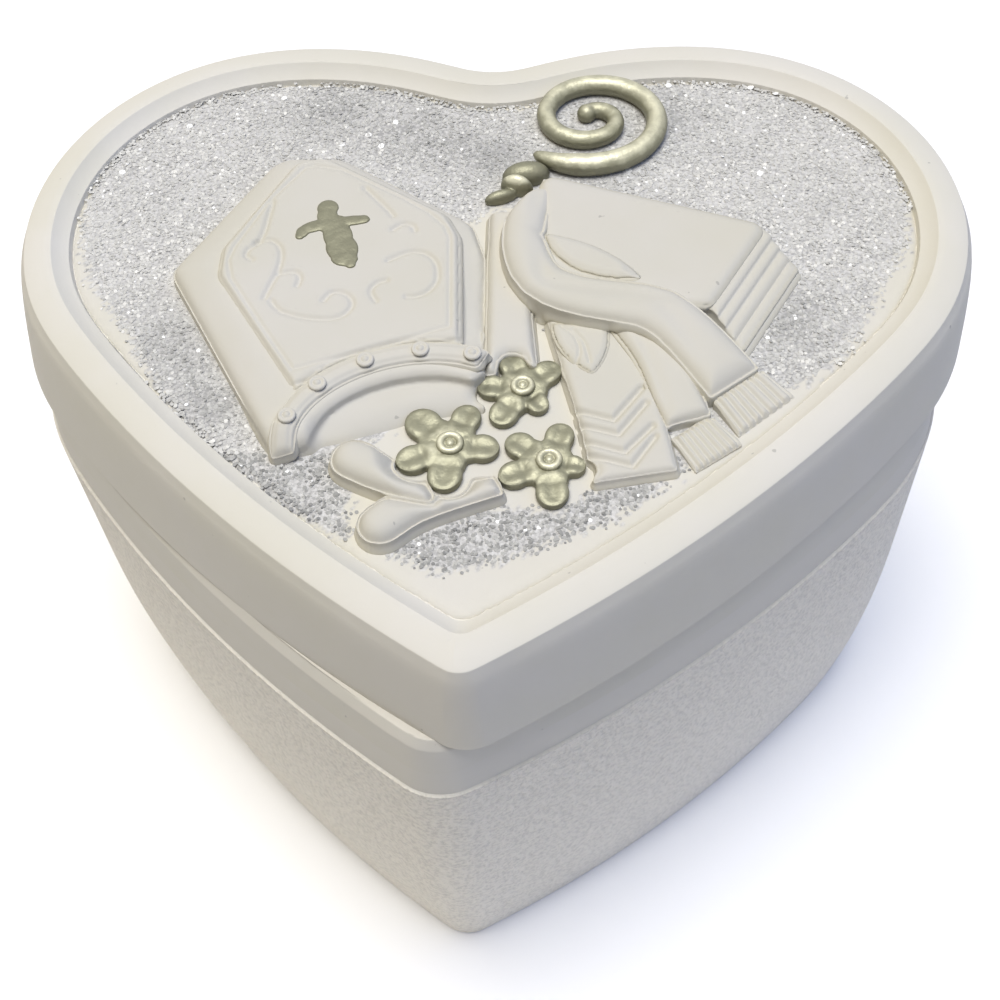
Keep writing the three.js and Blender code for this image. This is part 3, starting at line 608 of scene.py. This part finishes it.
def mark_wear_and_shade(piece, foot, head):
    """Writes on each point how far up it is between a foot and a head height: the gilt turns this into
    painted shade low down and rubbed, lit paint high up.
    """
    heights = np.clip((points_of(piece)[:, 2] - foot) / (head - foot), 0, 1)
    mark = piece.data.attributes.new("height_wear_and_shade", "FLOAT", "POINT")
    mark.data.foreach_set("value", heights.astype(np.float32))


def join_blobs(name, blobs, grain, rounds):
    """Melts ellipsoids, each a centre and three half-widths, into one soft piece."""
    bpy.ops.object.select_all(action="DESELECT")
    made = []
    for place, sizes, turn in blobs:
        bpy.ops.mesh.primitive_uv_sphere_add(
            location=place, radius=1, segments=24, ring_count=14, rotation=(0, 0, turn))
        blob = bpy.context.active_object
        blob.scale = sizes
        made.append(blob)
    for blob in made:
        blob.select_set(True)
    bpy.context.view_layer.objects.active = made[0]
    if len(made) > 1:
        bpy.ops.object.join()
    piece = bpy.context.active_object
    piece.name = name
    melt(piece, grain, rounds)
    return piece


def flatten_above(piece, height, share):
    """Leaves only a share of how far a piece stands up above a height."""
    places = points_of(piece)
    over = np.maximum(places[:, 2] - height, 0)
    places[:, 2] -= (1 - share) * over
    move_points(piece, places)


gilt = gilding("champagne_gilt")
cross_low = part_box("mitre_cross")[0]
blobs = []
for centre, (wide, long), turn in CROSS_BLOBS:
    x, y = on_mitre([centre])[0]
    sizes = (wide * MM, long * MM, 0.45 * MM)
    blobs.append(((x, y, cross_low.z - 0.05 * MM), sizes, math.radians(turn) + MITRE_LEAN))
cross = join_blobs("mitre_gilt_cross", blobs, 0.09 * MM, 18)
flatten_above(cross, cross_low.z + CROSS_FLAT, 0.3)
mark_wear_and_shade(cross, cross_low.z - 0.1 * MM, cross_low.z + 2 * MM)
finish_piece(cross, gilt, "mitre_cross")


# Crosier: a bishop's staff. Its white pole comes out from under the stole, and above two gilt beads it
# ends in a round gilt rod that is coiled up into a crook and thins towards the eye.
COIL_CENTRE = Vector((9.8, 27)) * MM
COIL_START, COIL_END = -134, 476
COIL_OUTER, COIL_INNER = 7 * MM, 0.9 * MM
COIL_STRETCH = 1.12
ROD = 1.12 * MM
ROD_TAPER = 0.3
ROD_STEPS = 170
EYE_RADIUS = 0.95 * MM
COAT_TOP = 60.2 * MM
BEADS = [
    ("crosier_collar_upper", "crosier_bead_upper", 5, [(3.65, 19.5, 2.3, 1.3, 1.4, 10)]),
    ("crosier_collar_lower", "crosier_bead_lower", 1.9,
     [(1.4, 16.6, 1.65, 0.65, 0.8, 20), (2.85, 17.8, 1.6, 0.8, 1.6, -12)]),
]

soft_relief("crosier_staff", "crosier_pole", 0.14 * MM, 20, (1, 0.4))

coil = bpy.data.curves.new("coil", "CURVE")
coil.dimensions = "3D"
coil.bevel_depth = ROD
coil.bevel_resolution = 6
coil.use_fill_caps = True
rod_line = coil.splines.new("POLY")
rod_line.points.add(ROD_STEPS)
for step in range(ROD_STEPS + 1):
    along = step / ROD_STEPS
    angle = math.radians(COIL_START + (COIL_END - COIL_START) * along)
    reach = COIL_OUTER + (COIL_INNER - COIL_OUTER) * along
    rod_line.points[step].co = (
        COIL_CENTRE.x + reach * COIL_STRETCH * math.cos(angle),
        COIL_CENTRE.y + reach * math.sin(angle),
        COAT_TOP + 0.8 * ROD * (1 - ROD_TAPER * along),
        1,
    )
    rod_line.points[step].radius = (1 - ROD_TAPER * along) * min(1, 0.2 + 3.4 * math.sqrt(along))
eye = rod_line.points[ROD_STEPS].co.to_3d()
rod = bpy.data.objects.new("crosier_crook", coil)
bpy.context.scene.collection.objects.link(rod)
only(rod)
bpy.ops.object.convert(target="MESH")
rod = bpy.context.active_object
bpy.ops.object.select_all(action="DESELECT")
bpy.ops.mesh.primitive_uv_sphere_add(location=eye, radius=EYE_RADIUS, segments=24, ring_count=14)
rod.select_set(True)
bpy.context.view_layer.objects.active = rod
bpy.ops.object.join()
melt(rod, 0.13 * MM, 5)
mark_wear_and_shade(rod, COAT_TOP, COAT_TOP + 2.6 * MM)
finish_piece(rod, gilt, "crosier_head")

for node, name, gilt_top, beads in BEADS:
    blobs = []
    for x, y, wide, long, tall, turn in beads:
        sizes = (wide * MM, long * MM, tall * MM)
        blobs.append(((x * MM, y * MM, COAT_TOP + 0.4 * MM), sizes, math.radians(turn)))
    bead = join_blobs(name, blobs, 0.09 * MM, 4)
    mark_wear_and_shade(bead, COAT_TOP + 0.8 * MM, COAT_TOP + gilt_top * MM)
    finish_piece(bead, gilt, node)


# Book: it lies shut on its back cover, with the leaves' edges showing as ridges at its lower end. Covers and
# leaves are one white casting with the lid, and the stole hides most of them.
soft_relief("book_back_cover", "book_board_back", 0.14 * MM, 2)
soft_relief("book_pages", "book_leaves", 0.12 * MM, 3)
soft_relief("book_cover", "book_board_front", 0.14 * MM, 6, (0.8, 0.2))


# Stole: a priest's long scarf, laid over the book in two layers with a tuck between them. Its ends have
# fringes, and the sash beside it ends in a leaf and four pointed braids. A beige painted shade lies in its
# creases, where it meets other pieces.
CHEVRONS = [
    [(8.1, -8.9), (11.8, -10), (14.2, -6.6)], [(8.6, -10.5), (12.2, -11.5), (14.5, -8.2)],
    [(9.2, -12.2), (12.7, -13.3), (15, -10.6)], [(9.6, -13.6), (13.3, -14.7), (15.2, -11.7)],
]
LEAF_ARCS = [[(7.3, -0.2), (8.4, -1.3), (8.9, -2.9), (8.6, -4.3)], [(8.3, -0.6), (9.3, -2.1), (9.8, -4.2)]]
STOLE_CORNER = ((2.2, 12), (6.2, 17.8))
FRINGES = [
    ("stole_fringe_upper", "stole_tassels_upper", (22.2, -6), (24.7, -8.9), 5.5, 6.6,
     ((15.2, 1), (24.7, -8.9), 2.1 * MM)),
    ("stole_fringe_lower", "stole_tassels_lower", (18.3, -10.3), (20.5, -13.3), 4.1, 4.9,
     ((13, -2), (20.5, -13.3), 1 * MM)),
]


def in_metres(line):
    return [(x * MM, y * MM) for x, y in line]


def sink_beyond(piece, start, end, drop, reach):
    """Lets a piece fall away softly on the left side of a line, in mm."""
    places = points_of(piece)
    begin, run = np.array(start) * MM, np.array(end) - np.array(start)
    left = np.array((-run[1], run[0])) / np.linalg.norm(run)
    beyond = np.clip((places[:, :2] - begin) @ left / reach, 0, 1)
    places[:, 2] -= drop * beyond ** 1.5
    move_points(piece, places)


sash = soft_relief("sash", "sash_end", 0.12 * MM, 10, (0.9, 0.3))
for chevron in CHEVRONS:
    carve(sash, away_from(points_of(sash), in_metres(chevron)), 0.42 * MM, 0.3 * MM)
leaf = soft_relief("sash_leaf", "sash_leaf_badge", 0.09 * MM, 5, (0.5, 0.2))
for arc in LEAF_ARCS:
    carve(leaf, away_from(points_of(leaf), in_metres(curved(arc))), 0.15 * MM, 0.18 * MM)
stole_low = soft_relief("stole_lower", "stole_end_lower", 0.14 * MM, 14, (1.2, 0.45))
slope_down(stole_low, (13, -2), (20.5, -13.3), 0.9 * MM)
soft_relief("stole_fold", "stole_tuck", 0.12 * MM, 12, (0.8, 0.3))
stole_up = soft_relief("stole_upper", "stole_end_upper", 0.14 * MM, 24, (1.9, 0.8), 1 * MM)
slope_down(stole_up, (4.2, 9), (4.4, 16), 0.7 * MM)
sink_beyond(stole_up, *STOLE_CORNER, 3.2 * MM, 1.6 * MM)
apply(stole_up, "SMOOTH", factor=0.5, iterations=16)
slope_down(stole_up, (15.2, 1), (24.7, -8.9), 2.1 * MM)
random = np.random.default_rng(7)
for node, name, start, end, near_width, far_width, slope in FRINGES:
    tassels = soft_relief(node, name, 0.1 * MM, 3, (0.5, 0.2))
    slope_down(tassels, *slope)
    begin, finish = Vector(start), Vector(end)
    run = (finish - begin).normalized()
    side = Vector((-run.y, run.x))
    for number in range(-3, 5):
        offset = (number - 0.5) / 8 + random.uniform(-0.012, 0.012)
        top = begin - run * 0.3 + side * near_width * offset
        tip = finish + run * 0.6 + side * far_width * offset
        carve(tassels, away_from(points_of(tassels), in_metres([top, tip])), 0.3 * MM, 0.17 * MM)


# Flowers: three little five-petalled flowers in gilt paint, each with a ring and a dot at its heart. Their
# petals are uneven, as cast ones are: each is given by its middle and its half-width, in mm.
FLOWERS = [
    ("left", (-1.75, -12.5), 0.85,
     [(-4.1, -10.3, 1.6), (-0.6, -9.6, 1.3), (0.9, -12.65, 1.35), (-2.05, -15.4, 1.5), (-4.75, -13.85, 1.4)]),
    ("top", (4.1, -6.4), 0.75,
     [(3.2, -3.85, 1.28), (6.1, -4.65, 1.25), (1.5, -6.25, 1.22), (2.6, -9, 1.3), (5.3, -7.9, 1.05)]),
    ("right", (6.5, -14.1), 0.8,
     [(4.1, -12.4, 1.3), (7.3, -11.45, 1.27), (8.45, -14.4, 1), (6.8, -17, 1.4), (3.7, -15.3, 1.3)]),
]


def at(x, y, height):
    """A place over the field, from mm and a height over the coat in mm."""
    return Vector((x * MM, y * MM, COAT_TOP + height * MM))


for label, (x, y), heart, petals in FLOWERS:
    blobs = [(at(x, y, 0.3), (2.2 * MM, 2.2 * MM, 1.2 * MM), 0)]
    for petal_x, petal_y, wide in petals:
        run = Vector((petal_x - x, petal_y - y))
        angle = math.atan2(run.y, run.x)
        blobs.append((at(petal_x, petal_y, 0.4), (wide * 1.1 * MM, wide * MM, 1.3 * MM), angle))
        root = (run.length * 0.62 * MM, wide * 1.08 * MM, 1.25 * MM)
        blobs.append((at(x + run.x * 0.5, y + run.y * 0.5, 0.3), root, angle))
    flower = join_blobs(f"flower_petals_{label}", blobs, 0.1 * MM, 4)
    flatten_above(flower, COAT_TOP + 0.8 * MM, 0.45)
    for petal_x, petal_y, wide in petals:
        run = Vector((petal_x - x, petal_y - y)).normalized() * 0.5
        cup = in_metres([(petal_x - run.x, petal_y - run.y), (petal_x + run.x, petal_y + run.y)])
        carve(flower, away_from(points_of(flower), cup), 0.42 * MM, wide * 0.6 * MM)
    carve(flower, away_from(points_of(flower), in_metres([(x, y)] * 2)), 0.3 * MM, 1.2 * MM)
    apply(flower, "SMOOTH", factor=0.5, iterations=3)
    mark_wear_and_shade(flower, COAT_TOP + 0.4 * MM, COAT_TOP + 1.5 * MM)
    finish_piece(flower, gilt, f"flower_{label}")

    sizes = (heart * MM, 0.32 * MM, 0.5 * MM)
    ring = ring_and_dot(f"flower_heart_{label}", at(x, y, 1.05), at(x, y, 0.8), sizes, 3, (40, 14))
    mark_wear_and_shade(ring, COAT_TOP + 0.3 * MM, COAT_TOP + 1.8 * MM)
    finish_piece(ring, gilt, f"flower_centre_{label}")


# Glitter: silver flakes strewn on a thin clear coat full of silver dust, over the sunken field, a few of them
# near white as painted glints. They are duller towards the tip and in a few soft spots, some of which are
# painted shade beside the crook and the mitre, and they keep off the emblems and a patch by the flowers.
GLITTER_EDGE = [
    (-38.2, 13.6), (-37.2, 9.2), (-35.4, 5.3), (-33, 2.3), (-31.1, -0.6), (-29.1, -3.8), (-27.1, -7.3),
    (-26.3, -9), (-24.1, -11.3), (-21, -14.2), (-18, -17), (-14.8, -19.1), (-10.7, -20.8), (-8.8, -21.7),
    (-6.5, -22.5), (-4.7, -23.4), (-2.2, -24.4), (2.8, -23.2), (7.2, -21.4), (11.8, -19.3), (16.5, -15.3),
    (18.1, -13.6), (27.3, -5.1), (30.7, -3.3), (33.1, -0.2), (34.5, 3.4), (36, 6.7), (38.3, 10.6),
    (39.2, 15.6), (38.6, 22.2), (37.9, 25.2), (35.9, 28.4), (32.3, 31.2), (25.6, 33.3), (18.7, 33.3),
    (10.7, 31.8), (2.8, 29.3), (-1.2, 29.8), (-5.3, 31.6), (-11.5, 33.1), (-19.7, 33.2), (-27.8, 32.5),
    (-33.5, 30), (-37.1, 24.9), (-38.6, 19.3),
]
BARE_PATCHES = [
    [(-9, -13), (-10, -19.6), (-8.9, -22), (-6.5, -22), (-3.6, -20.2), (-0.6, -19.1), (1.4, -17.9),
     (2.6, -18.2), (5.8, -18.7), (8.6, -18), (9.5, -17), (10.7, -15.9), (12, -10), (8, 0), (2, 0), (-4, -6)],
    [(-3.5, -2), (6, -2), (5.5, 15.5), (0.3, 15.5), (-1.8, 13)],
]
EMBLEMS = [
    "mitre_body", "lappet_upper", "lappet_lower", "crosier_staff", "crosier_head", "crosier_collar_upper",
    "crosier_collar_lower", "book_back_cover", "book_pages", "book_cover", "sash", "stole_lower",
    "stole_upper", "stole_fringe_lower", "stole_fringe_upper", "flower_left", "flower_top", "flower_right",
]
FLAKE_RADIUS = (0.11 * MM, 0.20 * MM)
FLAKE_DEPTH = 0.03 * MM
FLAKE_TILT = math.radians(9)
FLAKES_PER_SIDE = 9000
HALO = 0.25 * MM
STRAY = 0.4
DULL_BELOW = -13
DULL_TONE = 0.22
TONE_LOW, TONE_SPREAD, TONE_HIGH = 0.3, 0.65, 0.9
DIMMING_AND_SHADE = 0.64
# Painted glints: larger flakes at the listed spots, and a small share of the rest, are coloured near white to
# stand for glints of light.
PAINTED_GLINT_RADIUS = 0.34 * MM
PAINTED_GLINT_SHARE = 0.008
PAINTED_GLINT_SPOTS = [
    (9, 32), (11.4, 32.3), (17.5, 32.6), (25.6, 32.2), (28, 31.4), (15.8, 26), (13.4, 20.6), (25.8, 20.1),
    (-12, 25.6), (-14.5, 24.2), (-9.4, 27.4), (-10.6, 24), (-7.2, 29.3), (-21, 31), (-30, 27), (-35.6, 20.5),
]
# Soft darker spots in the glitter: those beside the crook and the mitre are painted shade.
DIM_AND_SHADED_SPOTS = [
    (-16, 29.5, 5), (-6.5, 25.5, 5), (1, 22, 4), (-27, -1.5, 5), (-22.5, -8, 4), (27, 1.5, 5), (17, 28, 4),
]


def inside(points, outline):
    """Which of the points, in mm, lie inside an outline."""
    x, y = points[:, 0], points[:, 1]
    odd = np.zeros(len(points), dtype=bool)
    for (x0, y0), (x1, y1) in zip(outline, outline[1:] + outline[:1]):
        if y0 != y1:
            odd ^= ((y0 > y) != (y1 > y)) & (x < x0 + (y - y0) * (x1 - x0) / (y1 - y0))
    return odd


def glittered(points):
    covered = inside(points, GLITTER_EDGE)
    for patch in BARE_PATCHES:
        covered &= ~inside(points, patch)
    return covered


def dim_and_shade_at(x, y):
    """How much darker the glitter is at a place: in soft spots, each given by a middle and a reach in mm.
    Those beside the crook and the mitre are painted shade, the others darker glitter.
    """
    return min(1, sum(math.exp(-((x - a) ** 2 + (y - b) ** 2) / reach ** 2) for a, b, reach in DIM_AND_SHADED_SPOTS))


def patchy(x, y):
    """How the glitter's brightness drifts over the field, in soft waves."""
    wide = 0.2 * math.sin(0.31 * x + 1.3) * math.sin(0.43 * y + 0.6)
    return 0.8 + wide + 0.12 * math.sin(0.9 * x - 0.7 * y)


def silver_flakes(name):
    """Silver foil cut into tiny flakes, each darker or brighter than the next, and a few near white as
    painted glints.
    """
    material = bpy.data.materials.new(name)
    tree, shader = node_tree(material)
    colour = add_ramp(tree, read_mark(tree, "tone_and_glint"), [
        (0, (0.22, 0.22, 0.215)), (0.3, (0.49, 0.485, 0.465)),
        (0.9, (0.62, 0.61, 0.585)), (1, (0.92, 0.92, 0.91)),
    ])
    tree.links.new(colour, shader.inputs["Base Color"])
    shader.inputs["Metallic"].default_value = 0.35
    shader.inputs["Roughness"].default_value = 0.56
    return material


def dusted_resin(name, tint):
    """Resin under a clear coat full of the finest silver dust, which the flakes lie on."""
    material = smooth_resin(name, tint)
    tree, shader = material.node_tree, material.node_tree.nodes["Principled BSDF"]
    plain = shader.inputs["Base Color"].links[0].from_socket
    dust = add_noise(tree, 0.34 * MM, 2, 0.7)
    mottle = add_noise(tree, 3 * MM, 2, 0.6)
    tone = add_math(tree, "MULTIPLY_ADD", mottle, 0.35, dust)
    # The spots' mark darkens the dust too: some of these spots are painted shade beside the crook and the
    # mitre.
    dimmed_and_shaded_tone = add_math(tree, "MULTIPLY_ADD", read_mark(tree, "dim_and_shade"), -0.08, tone)
    silver = add_ramp(tree, dimmed_and_shaded_tone, [
        (0.5, (0.36, 0.355, 0.345)), (0.68, (0.55, 0.54, 0.52)), (0.85, (0.68, 0.67, 0.65)),
    ])
    tree.links.new(add_mix(tree, read_mark(tree, "covered"), plain, silver), shader.inputs["Base Color"])
    return material


random = np.random.default_rng(20)
dusted = dusted_resin("coated_resin", shade(WALL_TINT, 0.95))
coat = soft_relief("glitter_bed", "glitter_coat", 0.3 * MM, 2, (0.5, 0), 0.8 * MM, dusted)
seen_from_above = points_of(coat)[:, :2] / MM
covered = glittered(seen_from_above + random.normal(0, STRAY, seen_from_above.shape))
mark = coat.data.attributes.new("covered", "FLOAT", "POINT")
mark.data.foreach_set("value", covered.astype(np.float32))
mark = coat.data.attributes.new("dim_and_shade", "FLOAT", "POINT")
mark.data.foreach_set("value", [dim_and_shade_at(x, y) for x, y in seen_from_above])

others = [node for node in solids if node not in EMBLEMS]
emblems = solids_but(*others)


def clear_of_emblems(x, y):
    for dx, dy in ((0, 0), (HALO, 0), (-HALO, 0), (0, HALO), (0, -HALO)):
        hit = emblems.ray_cast(Vector((x * MM + dx, y * MM + dy, 0.08)), Vector((0, 0, -1)))[0]
        if hit is not None and hit.z > COAT_TOP + 0.05 * MM:
            return False
    return True


bpy.ops.object.select_all(action="DESELECT")
bpy.ops.mesh.primitive_cylinder_add(vertices=6, radius=1, depth=1, location=(0, 0, 0))
flake = bpy.context.active_object
flake_points = points_of(flake)
flake_faces = [list(face.vertices) for face in flake.data.polygons]
bpy.data.objects.remove(flake)

silver = silver_flakes("silver_glitter")
for label, west, east in (("left", -40, -0.5), ("right", -0.5, 40)):
    places = [place for place in PAINTED_GLINT_SPOTS if west <= place[0] < east]
    big = len(places)
    while len(places) < FLAKES_PER_SIDE:
        tries = random.uniform((west, -26), (east, 34), (4000, 2))
        lucky = glittered(tries + random.normal(0, STRAY, tries.shape))
        places += [tuple(place) for place in tries[lucky] if clear_of_emblems(*place)]
    places = places[:FLAKES_PER_SIDE]
    points = np.empty((len(places), len(flake_points), 3))
    tones_and_glints = np.empty(len(places), dtype=np.float32)
    for index, (x, y) in enumerate(places):
        size = PAINTED_GLINT_RADIUS if index < big else random.uniform(*FLAKE_RADIUS)
        tilt = abs(random.normal(0, FLAKE_TILT))
        way = random.uniform(0, math.tau)
        spin = random.uniform(0, math.tau)
        leaning = Matrix.Rotation(way, 3, "Z") @ Matrix.Rotation(tilt, 3, "X")
        turned = np.array(leaning @ Matrix.Rotation(spin, 3, "Z"))
        shape = (flake_points * (size, size, FLAKE_DEPTH)) @ turned.T
        points[index] = shape + (x * MM, y * MM, COAT_TOP + size * math.sin(tilt) * 0.75 + 0.01 * MM)
        chance = random.random()
        tone = DULL_TONE * chance if y < DULL_BELOW else TONE_LOW + TONE_SPREAD * chance * patchy(x, y)
        tone *= 1 - DIMMING_AND_SHADE * dim_and_shade_at(x, y)
        # Painted glint: these flakes get the near-white top of the flakes' colour ramp.
        painted_glint = index < big or random.random() < PAINTED_GLINT_SHARE
        tones_and_glints[index] = 1.0 if painted_glint else min(TONE_HIGH, tone)
    faces = []
    for first in range(0, len(places) * len(flake_points), len(flake_points)):
        faces += [[first + corner for corner in face] for face in flake_faces]
    mesh = bpy.data.meshes.new(f"glitter_flakes_{label}")
    mesh.from_pydata(points.reshape(-1, 3).tolist(), [], faces)
    mark = mesh.attributes.new("tone_and_glint", "FLOAT", "POINT")
    mark.data.foreach_set("value", np.repeat(tones_and_glints, len(flake_points)))
    flakes = bpy.data.objects.new(f"glitter_flakes_{label}", mesh)
    bpy.context.scene.collection.objects.link(flakes)
    flakes.data.materials.append(silver)
    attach(flakes, "lid")


# Camera: the photograph's viewing angle, close above the box's tip.
CAMERA_PLACE = Vector((8.873, -84.954, 160.234)) * MM
CAMERA_LENS, CAMERA_SENSOR = 53.4, 36
CAMERA_SHIFT = (0.0032, 0.0004)
CAMERA_TURN, CAMERA_DIP, CAMERA_ROLL = (math.radians(a) for a in (-5.579, 55.887, -4.061))
ahead = Vector((
    math.sin(CAMERA_TURN) * math.cos(CAMERA_DIP),
    math.cos(CAMERA_TURN) * math.cos(CAMERA_DIP),
    -math.sin(CAMERA_DIP),
))
level = Vector((math.cos(CAMERA_TURN), -math.sin(CAMERA_TURN), 0))
upright = level.cross(ahead)
right = math.cos(CAMERA_ROLL) * level + math.sin(CAMERA_ROLL) * upright
up = -math.sin(CAMERA_ROLL) * level + math.cos(CAMERA_ROLL) * upright
camera = bpy.data.objects.new("camera", bpy.data.cameras.new("camera"))
bpy.context.scene.collection.objects.link(camera)
turned = Matrix((right, up, -ahead)).transposed().to_4x4()
camera.matrix_world = Matrix.Translation(CAMERA_PLACE) @ turned
camera.data.lens = CAMERA_LENS
camera.data.sensor_width = CAMERA_SENSOR
camera.data.shift_x, camera.data.shift_y = CAMERA_SHIFT
camera.data.clip_start = 0.005
camera.data.clip_end = 50
bpy.context.scene.camera = camera


# Floor and light: a white table under one large soft lamp, in a dim room that is a little warm on the left
# and cool on the right. For bounced light the table's colour is a painted pool of light, pale near the box
# and dark further off. What the camera and shiny things see of it glows faintly, more with distance, so it
# stays white as far as the eye goes.
TABLE_SIZE = 6
TABLE_WHITE = (0.99, 0.99, 0.99)
TABLE_GLOW = 0.07
LAMP_PLACE = Vector((-0.07, 0, 1.2))
LAMP_AIM = Vector((0, 0, 0.06))
LAMP_SIZE = 0.7
LAMP_POWER = 13.2
LAMP_WHITE = (1, 0.99, 0.97)
ROOM_SIDES = [(0, (0.32, 0.245, 0.11)), (0.5, (0.25, 0.25, 0.25)), (1, (0.12, 0.23, 0.58))]
ROOM_DIM, ROOM_BRIGHT = 0.26, 1.35


def in_sight(tree):
    """One on what the camera or a shiny surface sees, and nought for all other light."""
    rays = tree.nodes.new("ShaderNodeLightPath")
    return add_math(tree, "MAXIMUM", rays.outputs["Is Camera Ray"], rays.outputs["Is Glossy Ray"])


bpy.ops.object.select_all(action="DESELECT")
bpy.ops.mesh.primitive_plane_add(size=TABLE_SIZE, location=(0, 0, 0))
table = bpy.context.active_object
table.name = "table"
top = bpy.data.materials.new("table_top")
tree, shader = node_tree(top)
shader.inputs["Roughness"].default_value = 0.9
shader.inputs["Specular IOR Level"].default_value = 0.1
place = tree.nodes.new("ShaderNodeTexCoord")
reach = tree.nodes.new("ShaderNodeVectorMath")
reach.operation = "LENGTH"
tree.links.new(place.outputs["Object"], reach.inputs[0])
# Painted pool of light: the table's colour for bounced light is pale near the box and dark further off.
painted_light_pool = add_ramp(tree, reach.outputs["Value"], [(0.10, (0.98,) * 3), (0.22, (0.3,) * 3)])
seen = in_sight(tree)
tree.links.new(add_mix(tree, seen, painted_light_pool, TABLE_WHITE), shader.inputs["Base Color"])
far = add_range(tree, reach.outputs["Value"], 0.12, 0.6, TABLE_GLOW, 1)
shader.inputs["Emission Color"].default_value = (1, 1, 1, 1)
tree.links.new(add_math(tree, "MULTIPLY", seen, far), shader.inputs["Emission Strength"])
table.data.materials.append(top)

lamp = bpy.data.objects.new("lamp_above", bpy.data.lights.new("lamp_above", "AREA"))
bpy.context.scene.collection.objects.link(lamp)
lamp.location = LAMP_PLACE
lamp.rotation_euler = (LAMP_AIM - LAMP_PLACE).to_track_quat("-Z", "Y").to_euler()
lamp.data.size = LAMP_SIZE
lamp.data.energy = LAMP_POWER
lamp.data.color = LAMP_WHITE

world = bpy.data.worlds.new("room")
bpy.context.scene.world = world
world.use_nodes = True
sky = world.node_tree
room = sky.nodes["Background"]
direction = sky.nodes.new("ShaderNodeTexCoord")
split = sky.nodes.new("ShaderNodeSeparateXYZ")
sky.links.new(direction.outputs["Generated"], split.inputs["Vector"])
sideways = add_range(sky, split.outputs["X"], -0.8, 0.8)
sky.links.new(add_ramp(sky, sideways, ROOM_SIDES), room.inputs["Color"])
upwards = add_range(sky, split.outputs["Z"], 0, 0.8, ROOM_DIM, ROOM_BRIGHT)
sky.links.new(upwards, room.inputs["Strength"])
white = sky.nodes.new("ShaderNodeBackground")
white.inputs["Color"].default_value = (1, 1, 1, 1)
choose = sky.nodes.new("ShaderNodeMixShader")
sky.links.new(in_sight(sky), choose.inputs["Fac"])
sky.links.new(room.outputs["Background"], choose.inputs[1])
sky.links.new(white.outputs["Background"], choose.inputs[2])
sky.links.new(choose.outputs["Shader"], sky.nodes["World Output"].inputs["Surface"])
bpy.context.scene.view_settings.view_transform = "Standard"
